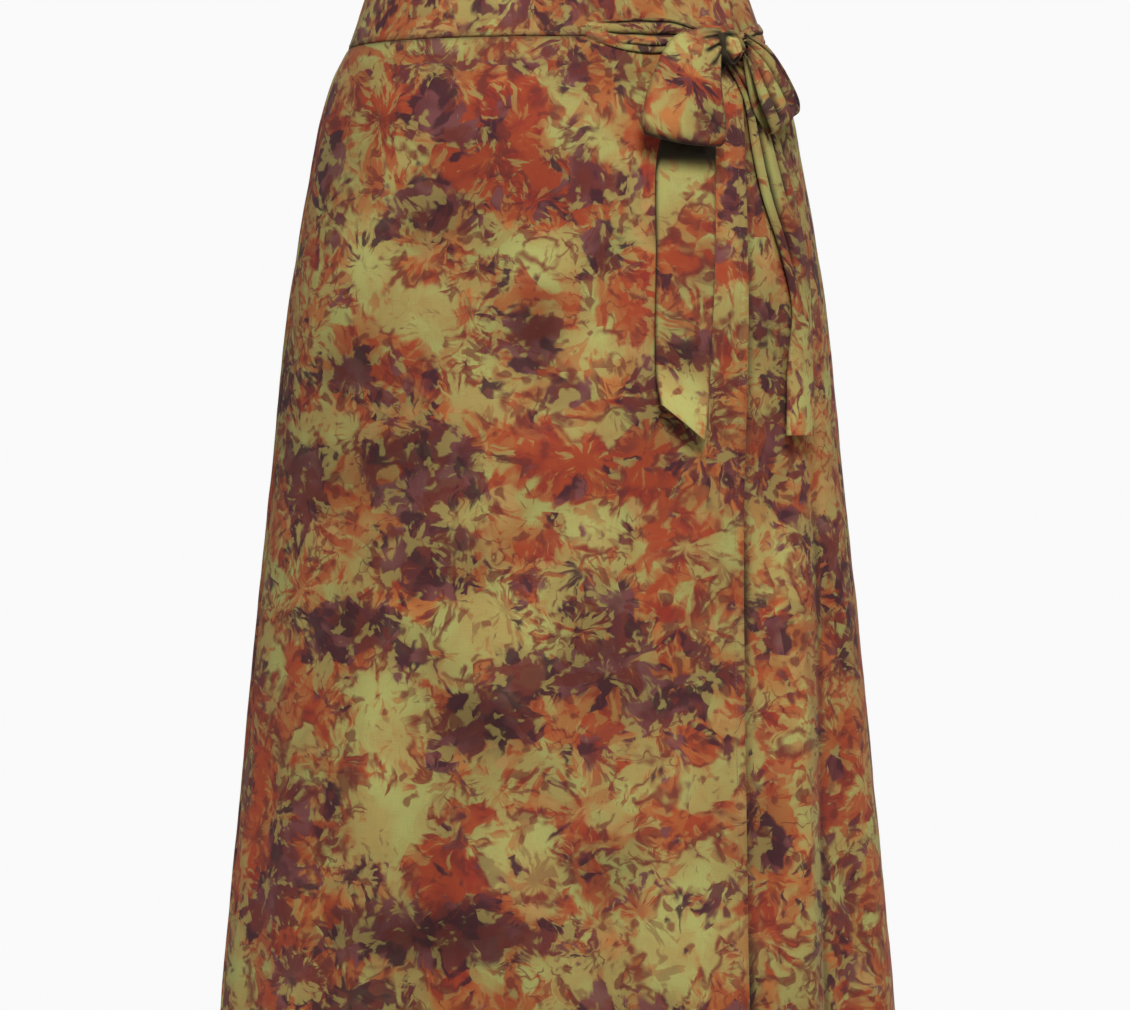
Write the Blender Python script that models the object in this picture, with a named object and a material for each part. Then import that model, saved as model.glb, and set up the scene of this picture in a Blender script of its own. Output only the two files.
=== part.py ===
"""A long wrap skirt as it hangs when it is worn and tied in a bow at the left hip.

Every cut piece is a thin closed wall of cloth laid on one shared form: sections give the
form's width and depth at each height, stations are lines that run down the cloth, and folds
lift the cloth along those lines. Z is up, -Y is the front, +X is the wearer's left, and the
origin is at the middle of the waist. Sizes are in metres.
"""
import math
from bisect import bisect_right
from collections import namedtuple
from functools import lru_cache

import bmesh
import bpy
from mathutils import Vector

# ---- driving sizes -------------------------------------------------------------------------
CLOTH = 0.0014              # thickness of a wall
LAYER_GAP = 0.0016          # air between two layers of the wrap
SEAM_GAP = 0.0003           # air between two pieces at a seam
BAND_TOP = 0.025
BAND_BOTTOM = -0.025
HEM = -0.960
FULLNESS = 2.2              # exponent of the section's outline, where 2 is an ellipse
SEAM_SHARE = 0.89           # a side seam's place on the way from front centre to side line
PANEL_ROWS = 18
BAND_ROWS = 2
ROW_CROWDING = 1.25         # above 1, the rows lie closer together near the waist

Section = namedtuple("Section", "height half_width front_depth back_depth")
SECTIONS = (
    Section(0.025, 0.163, 0.125, 0.114),
    Section(-0.025, 0.180, 0.133, 0.128),
    Section(-0.050, 0.1925, 0.139, 0.139),
    Section(-0.085, 0.2035, 0.146, 0.151),
    Section(-0.119, 0.210, 0.151, 0.160),
    Section(-0.188, 0.222, 0.155, 0.172),
    Section(-0.257, 0.2325, 0.157, 0.176),
    Section(-0.394, 0.246, 0.161, 0.180),
    Section(-0.532, 0.2605, 0.168, 0.186),
    Section(-0.670, 0.274, 0.177, 0.194),
    Section(-0.807, 0.287, 0.187, 0.203),
    Section(-0.960, 0.301, 0.199, 0.213),
)

# Stations of the lines that the cloth is cut and folded along, counted round the body from
# the under panel's free edge. A whole turn is TURN stations.
UNDER_EDGE, WRAP_EDGE, CREST, VALLEY, LEFT_SEAM, BACK_CENTRE, RIGHT_SEAM, TURN = (
    0, 18, 22, 26, 32, 54, 76, 90)

# Where three of these lines lie, as a distance along the outline from the front centre.
Line = namedtuple("Line", "height under_edge wrap_edge crest valley")
LINES = (
    Line(0.025, -0.100, 0.163, 0.176, 0.190),
    Line(-0.060, -0.100, 0.166, 0.186, 0.204),
    Line(-0.250, -0.100, 0.166, 0.206, 0.238),
    Line(-0.450, -0.100, 0.159, 0.210, 0.244),
    Line(-0.960, -0.100, 0.163, 0.219, 0.246),
)

# Folds: each is a soft ridge (or a trough, where rise is negative) along a station. It has
# its own width on each side, in stations, starts at a height and is full at another.
Fold = namedtuple("Fold", "station right_width left_width rise start full")
FOLDS = (
    Fold(CREST, 3.4, 2.6, 0.011, -0.20, -0.75),
    Fold(VALLEY, 2.0, 3.6, -0.009, -0.22, -0.75),
    Fold(30.0, 2.5, 3.0, 0.007, -0.40, -0.90),
    Fold(36.0, 2.6, 2.6, -0.007, -0.30, -0.90),
    Fold(40.5, 2.6, 2.4, 0.009, -0.30, -0.92),
    Fold(45.0, 2.8, 2.8, -0.006, -0.36, -0.92),
    Fold(50.0, 3.0, 2.6, 0.009, -0.26, -0.90),
    Fold(54.5, 2.6, 2.6, -0.007, -0.34, -0.92),
    Fold(59.0, 2.4, 3.0, 0.008, -0.30, -0.92),
    Fold(64.0, 2.8, 2.6, -0.007, -0.34, -0.90),
    Fold(69.0, 2.8, 2.4, 0.009, -0.28, -0.92),
    Fold(73.5, 2.4, 2.4, -0.006, -0.40, -0.92),
    Fold(79.2, 1.8, 2.0, -0.004, -0.42, -0.92),
    Fold(82.0, 2.0, 1.8, 0.005, -0.46, -0.92),
    Fold(84.0, 1.6, 1.6, -0.003, -0.50, -0.92),
    Fold(86.0, 1.8, 2.0, 0.006, -0.40, -0.92),
    Fold(88.8, 2.0, 2.0, -0.004, -0.46, -0.94),
    Fold(91.5, 2.0, 2.0, 0.005, -0.42, -0.92),
    Fold(93.6, 1.6, 1.6, -0.003, -0.50, -0.94),
    Fold(95.8, 2.0, 2.2, 0.004, -0.48, -0.94),
    Fold(99.0, 2.2, 2.4, -0.004, -0.50, -0.94),
    Fold(102.6, 2.4, 2.2, 0.005, -0.44, -0.92),
    Fold(105.6, 1.8, 1.8, -0.003, -0.50, -0.94),
)

# ---- the form ------------------------------------------------------------------------------
OUTLINE_STEPS = 160


def smooth_rows(rows, height):
    """The values of a table of heights at one height, joined by a smooth curve."""
    height = max(min(height, rows[0].height), rows[-1].height)
    index = min(bisect_right([-row.height for row in rows], -height), len(rows) - 1) - 1
    upper, lower = rows[index], rows[index + 1]
    before = rows[max(index - 1, 0)]
    after = rows[min(index + 2, len(rows) - 1)]
    span = upper.height - lower.height
    share = (upper.height - height) / span
    values = []
    for column in range(1, len(upper)):
        start_slope = (lower[column] - before[column]) / (before.height - lower.height) * span
        end_slope = (after[column] - upper[column]) / (upper.height - after.height) * span
        values.append((2 * share**3 - 3 * share**2 + 1) * upper[column]
                      + (share**3 - 2 * share**2 + share) * start_slope
                      + (3 * share**2 - 2 * share**3) * lower[column]
                      + (share**3 - share**2) * end_slope)
    return values


@lru_cache(maxsize=None)
def half_outline(height):
    """The left half of the section at a height, as points and distances from the front."""
    half_width, front_depth, back_depth = smooth_rows(SECTIONS, height)
    points = []
    for step in range(OUTLINE_STEPS + 1):
        angle = math.pi * step / OUTLINE_STEPS
        across = math.sin(angle) ** (2 / FULLNESS) * half_width
        along = math.copysign(abs(math.cos(angle)) ** (2 / FULLNESS), math.cos(angle))
        depth = front_depth if along > 0 else back_depth
        points.append(Vector((across, -along * depth, height)))
    distances = [0.0]
    for start, end in zip(points, points[1:]):
        distances.append(distances[-1] + (end - start).length)
    return points, distances


def side_distance(height):
    """The distance along the outline from the front centre to the widest line."""
    return half_outline(height)[1][OUTLINE_STEPS // 2]


def girth(height):
    return 2 * half_outline(height)[1][-1]


def on_outline(distance, height):
    """The point at a distance along the outline and the outward direction there."""
    whole = girth(height)
    distance = (distance + whole / 2) % whole - whole / 2
    points, distances = half_outline(height)
    index = min(max(bisect_right(distances, abs(distance)) - 1, 0), OUTLINE_STEPS - 1)
    share = (abs(distance) - distances[index]) / (distances[index + 1] - distances[index])
    before = points[max(index - 1, 0)]
    after = points[min(index + 2, OUTLINE_STEPS)]
    tangent = ((points[index + 1] - before) * (1 - share) + (after - points[index]) * share)
    point = points[index].lerp(points[index + 1], share)
    outward = Vector((-tangent.y, tangent.x, 0)).normalized() * -1
    if distance < 0:
        point.x, outward.x = -point.x, -outward.x
    return point, outward


def line_distances(height):
    """Station and distance of every line at a height, over one turn and a half."""
    under_edge, wrap_edge, crest, valley = smooth_rows(LINES, height)
    seam = side_distance(height) * SEAM_SHARE
    whole = girth(height)
    first = [(UNDER_EDGE, under_edge), (WRAP_EDGE, wrap_edge), (CREST, crest),
             (VALLEY, valley), (LEFT_SEAM, seam), (BACK_CENTRE, whole / 2),
             (RIGHT_SEAM, whole - seam)]
    again = [(station + TURN, distance + whole) for station, distance in first]
    return first + again


def station_distance(station, height):
    lines = line_distances(height)
    index = bisect_right([line[0] for line in lines], station) - 1
    index = min(max(index, 0), len(lines) - 2)
    (start, start_distance), (end, end_distance) = lines[index], lines[index + 1]
    share = (station - start) / (end - start)
    return start_distance + (end_distance - start_distance) * share


def distance_station(distance, height):
    lines = line_distances(height)
    index = bisect_right([line[1] for line in lines], distance) - 1
    index = min(max(index, 0), len(lines) - 2)
    (start, start_distance), (end, end_distance) = lines[index], lines[index + 1]
    share = (distance - start_distance) / (end_distance - start_distance)
    return start + (end - start) * share


def eased(value):
    value = min(max(value, 0.0), 1.0)
    return value * value * (3 - 2 * value)


def fold_rise(station, height):
    """How far the folds lift the cloth at a station and height."""
    rise = 0.0
    for fold in FOLDS:
        away = (station - fold.station + TURN / 2) % TURN - TURN / 2
        reach = abs(away) / (fold.left_width if away > 0 else fold.right_width)
        if reach < 1:
            strength = eased((fold.start - height) / (fold.start - fold.full))
            rise += fold.rise * strength * (0.5 + 0.5 * math.cos(math.pi * reach))
    return rise


def on_cloth(station, height, lift, shift=0.0):
    """A point over the form: shift moves it along the outline and lift outwards."""
    point, outward = on_outline(station_distance(station, height) + shift, height)
    return point + outward * (fold_rise(station, height) + lift)


def over_cloth(distance, height, lift):
    """As on_cloth, for a distance from the front centre instead of a station."""
    return on_cloth(distance_station(distance, height), height, lift)


def wrap_depth(station):
    """The under layer lies inside the outer one and comes out level at the left seam."""
    tucked = CLOTH + LAYER_GAP
    return -tucked * (1 - eased((station - WRAP_EDGE - 1) / (LEFT_SEAM - WRAP_EDGE - 1)))


# ---- walls of cloth ------------------------------------------------------------------------
Colour = namedtuple("Colour", "red green blue")
LEAF = Colour(0.33, 0.28, 0.09)
RUST = Colour(0.30, 0.09, 0.04)
PLUM = Colour(0.10, 0.04, 0.05)
CLAY = Colour(0.26, 0.13, 0.05)


def cloth_material(name, colour):
    material = bpy.data.materials.new(name)
    material.use_nodes = True
    shader = material.node_tree.nodes["Principled BSDF"]
    shader.inputs["Base Color"].default_value = (*colour, 1)
    shader.inputs["Roughness"].default_value = 0.85
    shader.inputs["Metallic"].default_value = 0.0
    return material


def add_object(name, mesh, colour):
    """Make an object of a closed bmesh, with its own material and smooth shading."""
    data = bpy.data.meshes.new(name)
    mesh.to_mesh(data)
    mesh.free()
    data.shade_smooth()
    data.set_sharp_from_angle(angle=math.radians(50))
    data.materials.append(cloth_material(name, colour))
    made = bpy.data.objects.new(name, data)
    bpy.context.scene.collection.objects.link(made)
    return made


def cloth_wall(name, columns, rows, place, colour):
    """A closed wall: a flat two-skinned slab of columns by rows, each corner then placed.

    place(across, down, inside) gives the point for shares of the width and of the length,
    on the outer skin where inside is 0 and on the inner skin where it is 1.
    """
    mesh = bmesh.new()
    bmesh.ops.create_grid(mesh, x_segments=columns, y_segments=rows, size=0.5)
    outer = mesh.faces[:]
    copied = bmesh.ops.extrude_face_region(mesh, geom=outer, use_keep_orig=True)
    for item in copied["geom"]:
        if isinstance(item, bmesh.types.BMVert):
            item.co.z = -1.0
    bmesh.ops.recalc_face_normals(mesh, faces=mesh.faces[:])
    for corner in mesh.verts:
        corner.co = place(corner.co.x + 0.5, 0.5 - corner.co.y, -corner.co.z)
    return add_object(name, mesh, colour)


# ---- the panels and the band ---------------------------------------------------------------
def panel(name, first, last, colour):
    """A panel between two stations, from just under the band to the hem."""
    top = BAND_BOTTOM - SEAM_GAP

    def place(across, down, inside):
        station = round(first + (last - first) * across, 3)
        height = top + (HEM - top) * down ** ROW_CROWDING
        tuck = wrap_depth(station) if station < LEFT_SEAM else 0.0
        return on_cloth(station, height, tuck - CLOTH * inside, SEAM_GAP * (0.5 - across))

    return cloth_wall(name, last - first, PANEL_ROWS, place, colour)


def waistband():
    """One strip from the under layer's end round the body to the outer layer's end."""
    last = TURN + WRAP_EDGE

    def place(across, down, inside):
        station = round(last * across, 3)
        height = BAND_TOP + (BAND_BOTTOM - BAND_TOP) * down
        tuck = wrap_depth(station) if station < LEFT_SEAM else 0.0
        return on_cloth(station, height, tuck - CLOTH * inside)

    return cloth_wall("waistband", last, BAND_ROWS, place, RUST)


# ---- the tie and its bow -------------------------------------------------------------------
# A row is one place along a strip of the tie: the distance and height of its two edges, the
# edge on the wearer's right first, and how far its middle surface stands out of the form.
Row = namedtuple("Row", "right_distance right_height left_distance left_height lift")

TIE_FRONT = (
    Row(0.0432, -0.0300, 0.0432, -0.0140, 0.0020),
    Row(0.0600, -0.0370, 0.0600, -0.0110, 0.0022),
    Row(0.0780, -0.0387, 0.0780, -0.0090, 0.0025),
    Row(0.0960, -0.0372, 0.0960, -0.0095, 0.0028),
    Row(0.1130, -0.0365, 0.1130, -0.0135, 0.0032),
    Row(0.1330, -0.0350, 0.1330, -0.0190, 0.0044),
)
TIE_SIDE = (
    Row(0.1625, -0.0360, 0.1625, -0.0190, 0.0044),
    Row(0.1760, -0.0355, 0.1760, -0.0135, 0.0032),
    Row(0.1920, -0.0340, 0.1920, -0.0080, 0.0027),
    Row(0.2080, -0.0310, 0.2080, -0.0050, 0.0024),
    Row(0.2245, -0.0280, 0.2245, -0.0030, 0.0020),
)
LOOP_LEFT = (
    Row(0.1346, -0.0165, 0.1346, -0.0400, 0.0150),
    Row(0.1120, -0.0185, 0.1315, -0.0500, 0.0205),
    Row(0.0890, -0.0283, 0.1300, -0.0590, 0.0235),
    Row(0.0745, -0.0590, 0.1304, -0.0780, 0.0250),
    Row(0.0675, -0.0845, 0.1325, -0.0980, 0.0240),
    Row(0.0670, -0.0985, 0.1330, -0.1090, 0.0205),
    Row(0.0695, -0.1055, 0.1328, -0.1135, 0.0138),
    Row(0.0720, -0.0985, 0.1322, -0.1080, 0.0072),
    Row(0.0780, -0.0800, 0.1310, -0.0920, 0.0052),
    Row(0.0930, -0.0520, 0.1305, -0.0660, 0.0070),
    Row(0.1330, -0.0250, 0.1330, -0.0390, 0.0098),
)
LOOP_RIGHT = (
    Row(0.1614, -0.0400, 0.1614, -0.0180, 0.0140),
    Row(0.1640, -0.0520, 0.1770, -0.0235, 0.0160),
    Row(0.1656, -0.0630, 0.1908, -0.0316, 0.0175),
    Row(0.1722, -0.0838, 0.2099, -0.0548, 0.0180),
    Row(0.1810, -0.0985, 0.2240, -0.0715, 0.0165),
    Row(0.1850, -0.1040, 0.2290, -0.0790, 0.0120),
    Row(0.1830, -0.0990, 0.2245, -0.0730, 0.0072),
    Row(0.1730, -0.0840, 0.2080, -0.0570, 0.0060),
    Row(0.1660, -0.0640, 0.1880, -0.0350, 0.0080),
    Row(0.1614, -0.0390, 0.1614, -0.0230, 0.0094),
)
TAIL_LEFT = (
    Row(0.1385, -0.0448, 0.1472, -0.0448, 0.0040),
    Row(0.1200, -0.0600, 0.1420, -0.0600, 0.0026),
    Row(0.0990, -0.0850, 0.1380, -0.0850, 0.0018),
    Row(0.0835, -0.1290, 0.1360, -0.1290, 0.0018),
    Row(0.0828, -0.2030, 0.1345, -0.2030, 0.0022),
    Row(0.0815, -0.2700, 0.1310, -0.2740, 0.0024),
    Row(0.0820, -0.3100, 0.1270, -0.3280, 0.0030),
    Row(0.0845, -0.3320, 0.1205, -0.3620, 0.0034),
)
TAIL_RIGHT = (
    Row(0.1482, -0.0448, 0.1570, -0.0448, 0.0040),
    Row(0.1600, -0.0620, 0.1800, -0.0600, 0.0026),
    Row(0.1680, -0.0800, 0.1960, -0.0760, 0.0022),
    Row(0.1735, -0.1160, 0.2120, -0.1130, 0.0022),
    Row(0.1839, -0.1580, 0.2290, -0.1560, 0.0022),
    Row(0.2010, -0.2000, 0.2400, -0.1990, 0.0022),
    Row(0.2130, -0.2500, 0.2420, -0.2500, 0.0024),
    Row(0.2020, -0.3050, 0.2360, -0.3050, 0.0028),
    Row(0.1955, -0.3570, 0.2270, -0.3570, 0.0034),
)

KNOT_DISTANCE, KNOT_HEIGHT, KNOT_LIFT = 0.1480, -0.0290, 0.0130
KNOT_HALF_WIDTH, KNOT_HALF_DEPTH, KNOT_HALF_HEIGHT = 0.0125, 0.0115, 0.0145


def between_rows(rows, share):
    """The row at a share of a strip's length, on a smooth curve through the table's rows."""
    place = share * (len(rows) - 1)
    index = min(int(place), len(rows) - 2)
    step = place - index
    before, start = rows[max(index - 1, 0)], rows[index]
    end, after = rows[index + 1], rows[min(index + 2, len(rows) - 1)]
    return Row(*(
        0.5 * (2 * b + (c - a) * step + (2 * a - 5 * b + 4 * c - d) * step**2
               + (3 * b - a - 3 * c + d) * step**3)
        for a, b, c, d in zip(before, start, end, after)))


def strip_point(rows, across, along, crown, pleat, pleats):
    """A point of a strip's middle surface.

    crown lifts its middle above its edges, and pleats are soft ridges that run along it.
    """
    row = between_rows(rows, along)
    distance = row.right_distance + (row.left_distance - row.right_distance) * across
    height = row.right_height + (row.left_height - row.right_height) * across
    ridge = pleat * (0.5 - 0.5 * math.cos(2 * math.pi * pleats * across)) if pleats else 0.0
    rounded = crown * (1 - (2 * across - 1) ** 2)
    return over_cloth(distance, height, row.lift + ridge + rounded)


def strip(name, rows, columns, steps, colour, crown=0.0, pleat=0.0, pleats=0):
    """A strip of the tie as a closed wall, half its thickness on each side of its middle."""
    nudge = 0.01

    def middle(across, along):
        return strip_point(rows, across, along, crown, pleat, pleats)

    def place(across, along, inside):
        start, end = max(along - nudge, 0), min(along + nudge, 1)
        near, far = max(across - nudge, 0), min(across + nudge, 1)
        lengthwise = middle(across, end) - middle(across, start)
        crosswise = middle(far, along) - middle(near, along)
        outward = lengthwise.cross(crosswise).normalized()
        return middle(across, along) + outward * CLOTH * (0.5 - inside)

    return cloth_wall(name, columns, steps, place, colour)


def knot():
    """The knot: a squeezed lump of cloth with a hollow at its middle, sat on the band."""
    outward = on_outline(KNOT_DISTANCE, KNOT_HEIGHT)[1]
    centre = over_cloth(KNOT_DISTANCE, KNOT_HEIGHT, KNOT_LIFT)
    sideways = Vector((-outward.y, outward.x, 0))
    mesh = bmesh.new()
    bmesh.ops.create_uvsphere(mesh, u_segments=20, v_segments=12, radius=1.0)
    for corner in mesh.verts:
        side, front, up = corner.co.x, -corner.co.y, corner.co.z
        fold = 1 + 0.07 * math.cos(5 * math.atan2(up, side)) * (1 - abs(front))
        corner.co = (centre + sideways * side * fold * KNOT_HALF_WIDTH
                     + outward * front * KNOT_HALF_DEPTH
                     + Vector((0, 0, up * fold * KNOT_HALF_HEIGHT)))
    return add_object("knot", mesh, CLAY)


def clear_scene():
    for item in list(bpy.data.objects):
        bpy.data.objects.remove(item)


def main():
    clear_scene()
    panel("back_panel", LEFT_SEAM, RIGHT_SEAM, PLUM)
    panel("front_overlap_panel", RIGHT_SEAM, TURN + WRAP_EDGE, LEAF)
    panel("front_under_panel", UNDER_EDGE, LEFT_SEAM, CLAY)
    waistband()
    strip("tie_front", TIE_FRONT, 8, 8, LEAF, pleat=0.0016, pleats=2)
    strip("tie_side", TIE_SIDE, 8, 8, LEAF, pleat=0.0016, pleats=2)
    knot()
    strip("loop_left", LOOP_LEFT, 8, 24, RUST, crown=0.003)
    strip("loop_right", LOOP_RIGHT, 10, 24, LEAF, crown=0.001, pleat=0.0016, pleats=3)
    strip("tail_left", TAIL_LEFT, 4, 16, LEAF, crown=0.0008)
    strip("tail_right", TAIL_RIGHT, 6, 18, CLAY, pleat=0.0012, pleats=1)


main()
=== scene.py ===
import math
from bisect import bisect_right
from collections import namedtuple
from functools import lru_cache

import bmesh
import bpy
from mathutils import Matrix, Vector, noise


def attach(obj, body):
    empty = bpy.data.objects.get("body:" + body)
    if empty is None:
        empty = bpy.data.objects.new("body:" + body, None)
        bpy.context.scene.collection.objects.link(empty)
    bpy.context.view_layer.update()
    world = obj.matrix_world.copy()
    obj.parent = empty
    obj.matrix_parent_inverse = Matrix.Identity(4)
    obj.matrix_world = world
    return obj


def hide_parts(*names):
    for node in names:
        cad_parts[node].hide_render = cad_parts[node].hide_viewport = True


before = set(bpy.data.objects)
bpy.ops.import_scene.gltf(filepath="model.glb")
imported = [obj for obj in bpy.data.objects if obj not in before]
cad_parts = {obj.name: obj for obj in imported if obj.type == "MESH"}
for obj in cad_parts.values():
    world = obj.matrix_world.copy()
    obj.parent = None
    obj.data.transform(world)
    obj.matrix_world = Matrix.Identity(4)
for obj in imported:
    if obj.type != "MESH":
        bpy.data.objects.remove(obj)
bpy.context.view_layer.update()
print("frame loaded")

# the skirt's form: the same sections, lines and folds as the solids that carry it
Section = namedtuple("Section", "height halfWidth frontDepth backDepth")
Line = namedtuple("Line", "height underEdge wrapEdge crest valley")
Fold = namedtuple("Fold", "station rightWidth leftWidth rise start full")
Row = namedtuple("Row", "rightDistance rightHeight leftDistance leftHeight lift")


def tableOf(kind, *rows):
    return tuple(kind(*row) for row in rows)


skirtForm = {
    "bandTop": 0.025,
    "bandBottom": -0.025,
    "hem": -0.960,
    "seamGap": 0.0003,
    "fullness": 2.2,            # 2 would be an ellipse
    "seamShare": 0.89,          # side seam, on the way from front centre to the widest line
    "layerStep": 0.0030,        # the under layer lies this far inside the outer one
    "sections": tableOf(
        Section,
        (0.025, 0.163, 0.125, 0.114),
        (-0.025, 0.180, 0.133, 0.128),
        (-0.050, 0.1925, 0.139, 0.139),
        (-0.085, 0.2035, 0.146, 0.151),
        (-0.119, 0.210, 0.151, 0.160),
        (-0.188, 0.222, 0.155, 0.172),
        (-0.257, 0.2325, 0.157, 0.176),
        (-0.394, 0.246, 0.161, 0.180),
        (-0.532, 0.2605, 0.168, 0.186),
        (-0.670, 0.274, 0.177, 0.194),
        (-0.807, 0.287, 0.187, 0.203),
        (-0.960, 0.301, 0.199, 0.213),
    ),
    "lines": tableOf(
        Line,
        (0.025, -0.100, 0.163, 0.176, 0.190),
        (-0.060, -0.100, 0.166, 0.186, 0.204),
        (-0.250, -0.100, 0.166, 0.206, 0.238),
        (-0.450, -0.100, 0.159, 0.210, 0.244),
        (-0.960, -0.100, 0.163, 0.219, 0.246),
    ),
}
# stations count the lines that run down the cloth, once round the body
underEdge, wrapEdge, crest, valley, leftSeam, backCentre, rightSeam, turn = (
    0, 18, 22, 26, 32, 54, 76, 90)
skirtFolds = tableOf(
    Fold,
    (crest, 3.4, 2.6, 0.011, -0.20, -0.75),
    (valley, 2.0, 3.6, -0.009, -0.22, -0.75),
    (30.0, 2.5, 3.0, 0.007, -0.40, -0.90),
    (36.0, 2.6, 2.6, -0.007, -0.30, -0.90),
    (40.5, 2.6, 2.4, 0.009, -0.30, -0.92),
    (45.0, 2.8, 2.8, -0.006, -0.36, -0.92),
    (50.0, 3.0, 2.6, 0.009, -0.26, -0.90),
    (54.5, 2.6, 2.6, -0.007, -0.34, -0.92),
    (59.0, 2.4, 3.0, 0.008, -0.30, -0.92),
    (64.0, 2.8, 2.6, -0.007, -0.34, -0.90),
    (69.0, 2.8, 2.4, 0.009, -0.28, -0.92),
    (73.5, 2.4, 2.4, -0.006, -0.40, -0.92),
    (79.2, 1.8, 2.0, -0.004, -0.42, -0.92),
    (82.0, 2.0, 1.8, 0.005, -0.46, -0.92),
    (84.0, 1.6, 1.6, -0.003, -0.50, -0.92),
    (86.0, 1.8, 2.0, 0.006, -0.40, -0.92),
    (88.8, 2.0, 2.0, -0.004, -0.46, -0.94),
    (91.5, 2.0, 2.0, 0.005, -0.42, -0.92),
    (93.6, 1.6, 1.6, -0.003, -0.50, -0.94),
    (95.8, 2.0, 2.2, 0.004, -0.48, -0.94),
    (99.0, 2.2, 2.4, -0.004, -0.50, -0.94),
    (102.6, 2.4, 2.2, 0.005, -0.44, -0.92),
    (105.6, 1.8, 1.8, -0.003, -0.50, -0.94),
)
outlineSteps = 160

# where the camera stands, its frame, and how wide the frame is at the skirt's middle
view = {
    "place": (0.0069, -4.0, -0.415),
    "frame": (1130, 1010),
    "widthThere": 1130 * 0.00086,
    "clothScale": 0.00083,      # one step of the frame on the front of the cloth
    "longest": 1.6,             # a dye zone's most stretch where the cloth turns away
}


def smoothRows(rows, height):
    # a table's values at one height, on a smooth curve through its rows
    height = max(min(height, rows[0].height), rows[-1].height)
    index = min(bisect_right([-row.height for row in rows], -height), len(rows) - 1) - 1
    upper, lower = rows[index], rows[index + 1]
    before, after = rows[max(index - 1, 0)], rows[min(index + 2, len(rows) - 1)]
    span = upper.height - lower.height
    share = (upper.height - height) / span
    values = []
    for column in range(1, len(upper)):
        startSlope = (lower[column] - before[column]) / (before.height - lower.height) * span
        endSlope = (after[column] - upper[column]) / (upper.height - after.height) * span
        values.append((2 * share**3 - 3 * share**2 + 1) * upper[column]
                      + (share**3 - 2 * share**2 + share) * startSlope
                      + (3 * share**2 - 2 * share**3) * lower[column]
                      + (share**3 - share**2) * endSlope)
    return values


def unitOutline():
    # a quarter turn past either side of the widest line, as shares of width and depth
    power = 2 / skirtForm["fullness"]
    angles = [math.pi * step / outlineSteps for step in range(outlineSteps + 1)]
    return [(math.sin(angle) ** power,
             math.copysign(abs(math.cos(angle)) ** power, math.cos(angle))) for angle in angles]


unitPoints = unitOutline()


@lru_cache(maxsize=None)
def halfOutline(height):
    halfWidth, frontDepth, backDepth = smoothRows(skirtForm["sections"], height)
    points = []
    for across, along in unitPoints:
        depth = frontDepth if along > 0 else backDepth
        points.append(Vector((across * halfWidth, -along * depth, height)))
    distances = [0.0]
    for start, end in zip(points, points[1:]):
        distances.append(distances[-1] + (end - start).length)
    return points, distances


def girthAt(height):
    return 2 * halfOutline(round(height, 5))[1][-1]


def nearestWay(distance, girth):
    # the same place, counted the shorter way round from the front centre
    return (distance + girth / 2) % girth - girth / 2


def onOutline(distance, height):
    # the point at a distance from the front centre, and the way out there
    points, distances = halfOutline(round(height, 5))
    distance = nearestWay(distance, girthAt(height))
    index = min(max(bisect_right(distances, abs(distance)) - 1, 0), outlineSteps - 1)
    share = (abs(distance) - distances[index]) / (distances[index + 1] - distances[index])
    before, after = points[max(index - 1, 0)], points[min(index + 2, outlineSteps)]
    tangent = (points[index + 1] - before) * (1 - share) + (after - points[index]) * share
    point = points[index].lerp(points[index + 1], share)
    outward = Vector((tangent.y, -tangent.x, 0)).normalized()
    if distance < 0:
        point.x, outward.x = -point.x, -outward.x
    return point, outward


@lru_cache(maxsize=None)
def lineDistances(height):
    underAt, wrapAt, crestAt, valleyAt = smoothRows(skirtForm["lines"], height)
    distances = halfOutline(height)[1]
    seamAt = distances[outlineSteps // 2] * skirtForm["seamShare"]
    girth = 2 * distances[-1]
    first = [(underEdge, underAt), (wrapEdge, wrapAt), (crest, crestAt), (valley, valleyAt),
             (leftSeam, seamAt), (backCentre, girth / 2), (rightSeam, girth - seamAt)]
    return first + [(station + turn, distance + girth) for station, distance in first]


def between(lines, value, known, wanted):
    index = bisect_right([line[known] for line in lines], value) - 1
    index = min(max(index, 0), len(lines) - 2)
    start, end = lines[index], lines[index + 1]
    share = (value - start[known]) / (end[known] - start[known])
    return start[wanted] + (end[wanted] - start[wanted]) * share


def stationDistance(station, height):
    return between(lineDistances(round(height, 5)), station, 0, 1)


def distanceStation(distance, height):
    return between(lineDistances(round(height, 5)), distance, 1, 0)


def eased(value):
    value = min(max(value, 0.0), 1.0)
    return value * value * (3 - 2 * value)


def bell(reach):
    # one at the middle, nothing at a reach of one
    return 0.5 + 0.5 * math.cos(math.pi * reach)


def foldRise(station, height):
    rise = 0.0
    for fold in skirtFolds:
        away = nearestWay(station - fold.station, turn)
        reach = abs(away) / (fold.leftWidth if away > 0 else fold.rightWidth)
        if reach < 1:
            strength = eased((fold.start - height) / (fold.start - fold.full))
            rise += fold.rise * strength * bell(reach)
    return rise


def wrapDepth(station):
    # how far inside the outer layer the under one lies, which comes out towards the left seam
    outwards = eased((station - wrapEdge - 1) / (leftSeam - wrapEdge - 1))
    return -skirtForm["layerStep"] * (1 - outwards)


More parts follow.
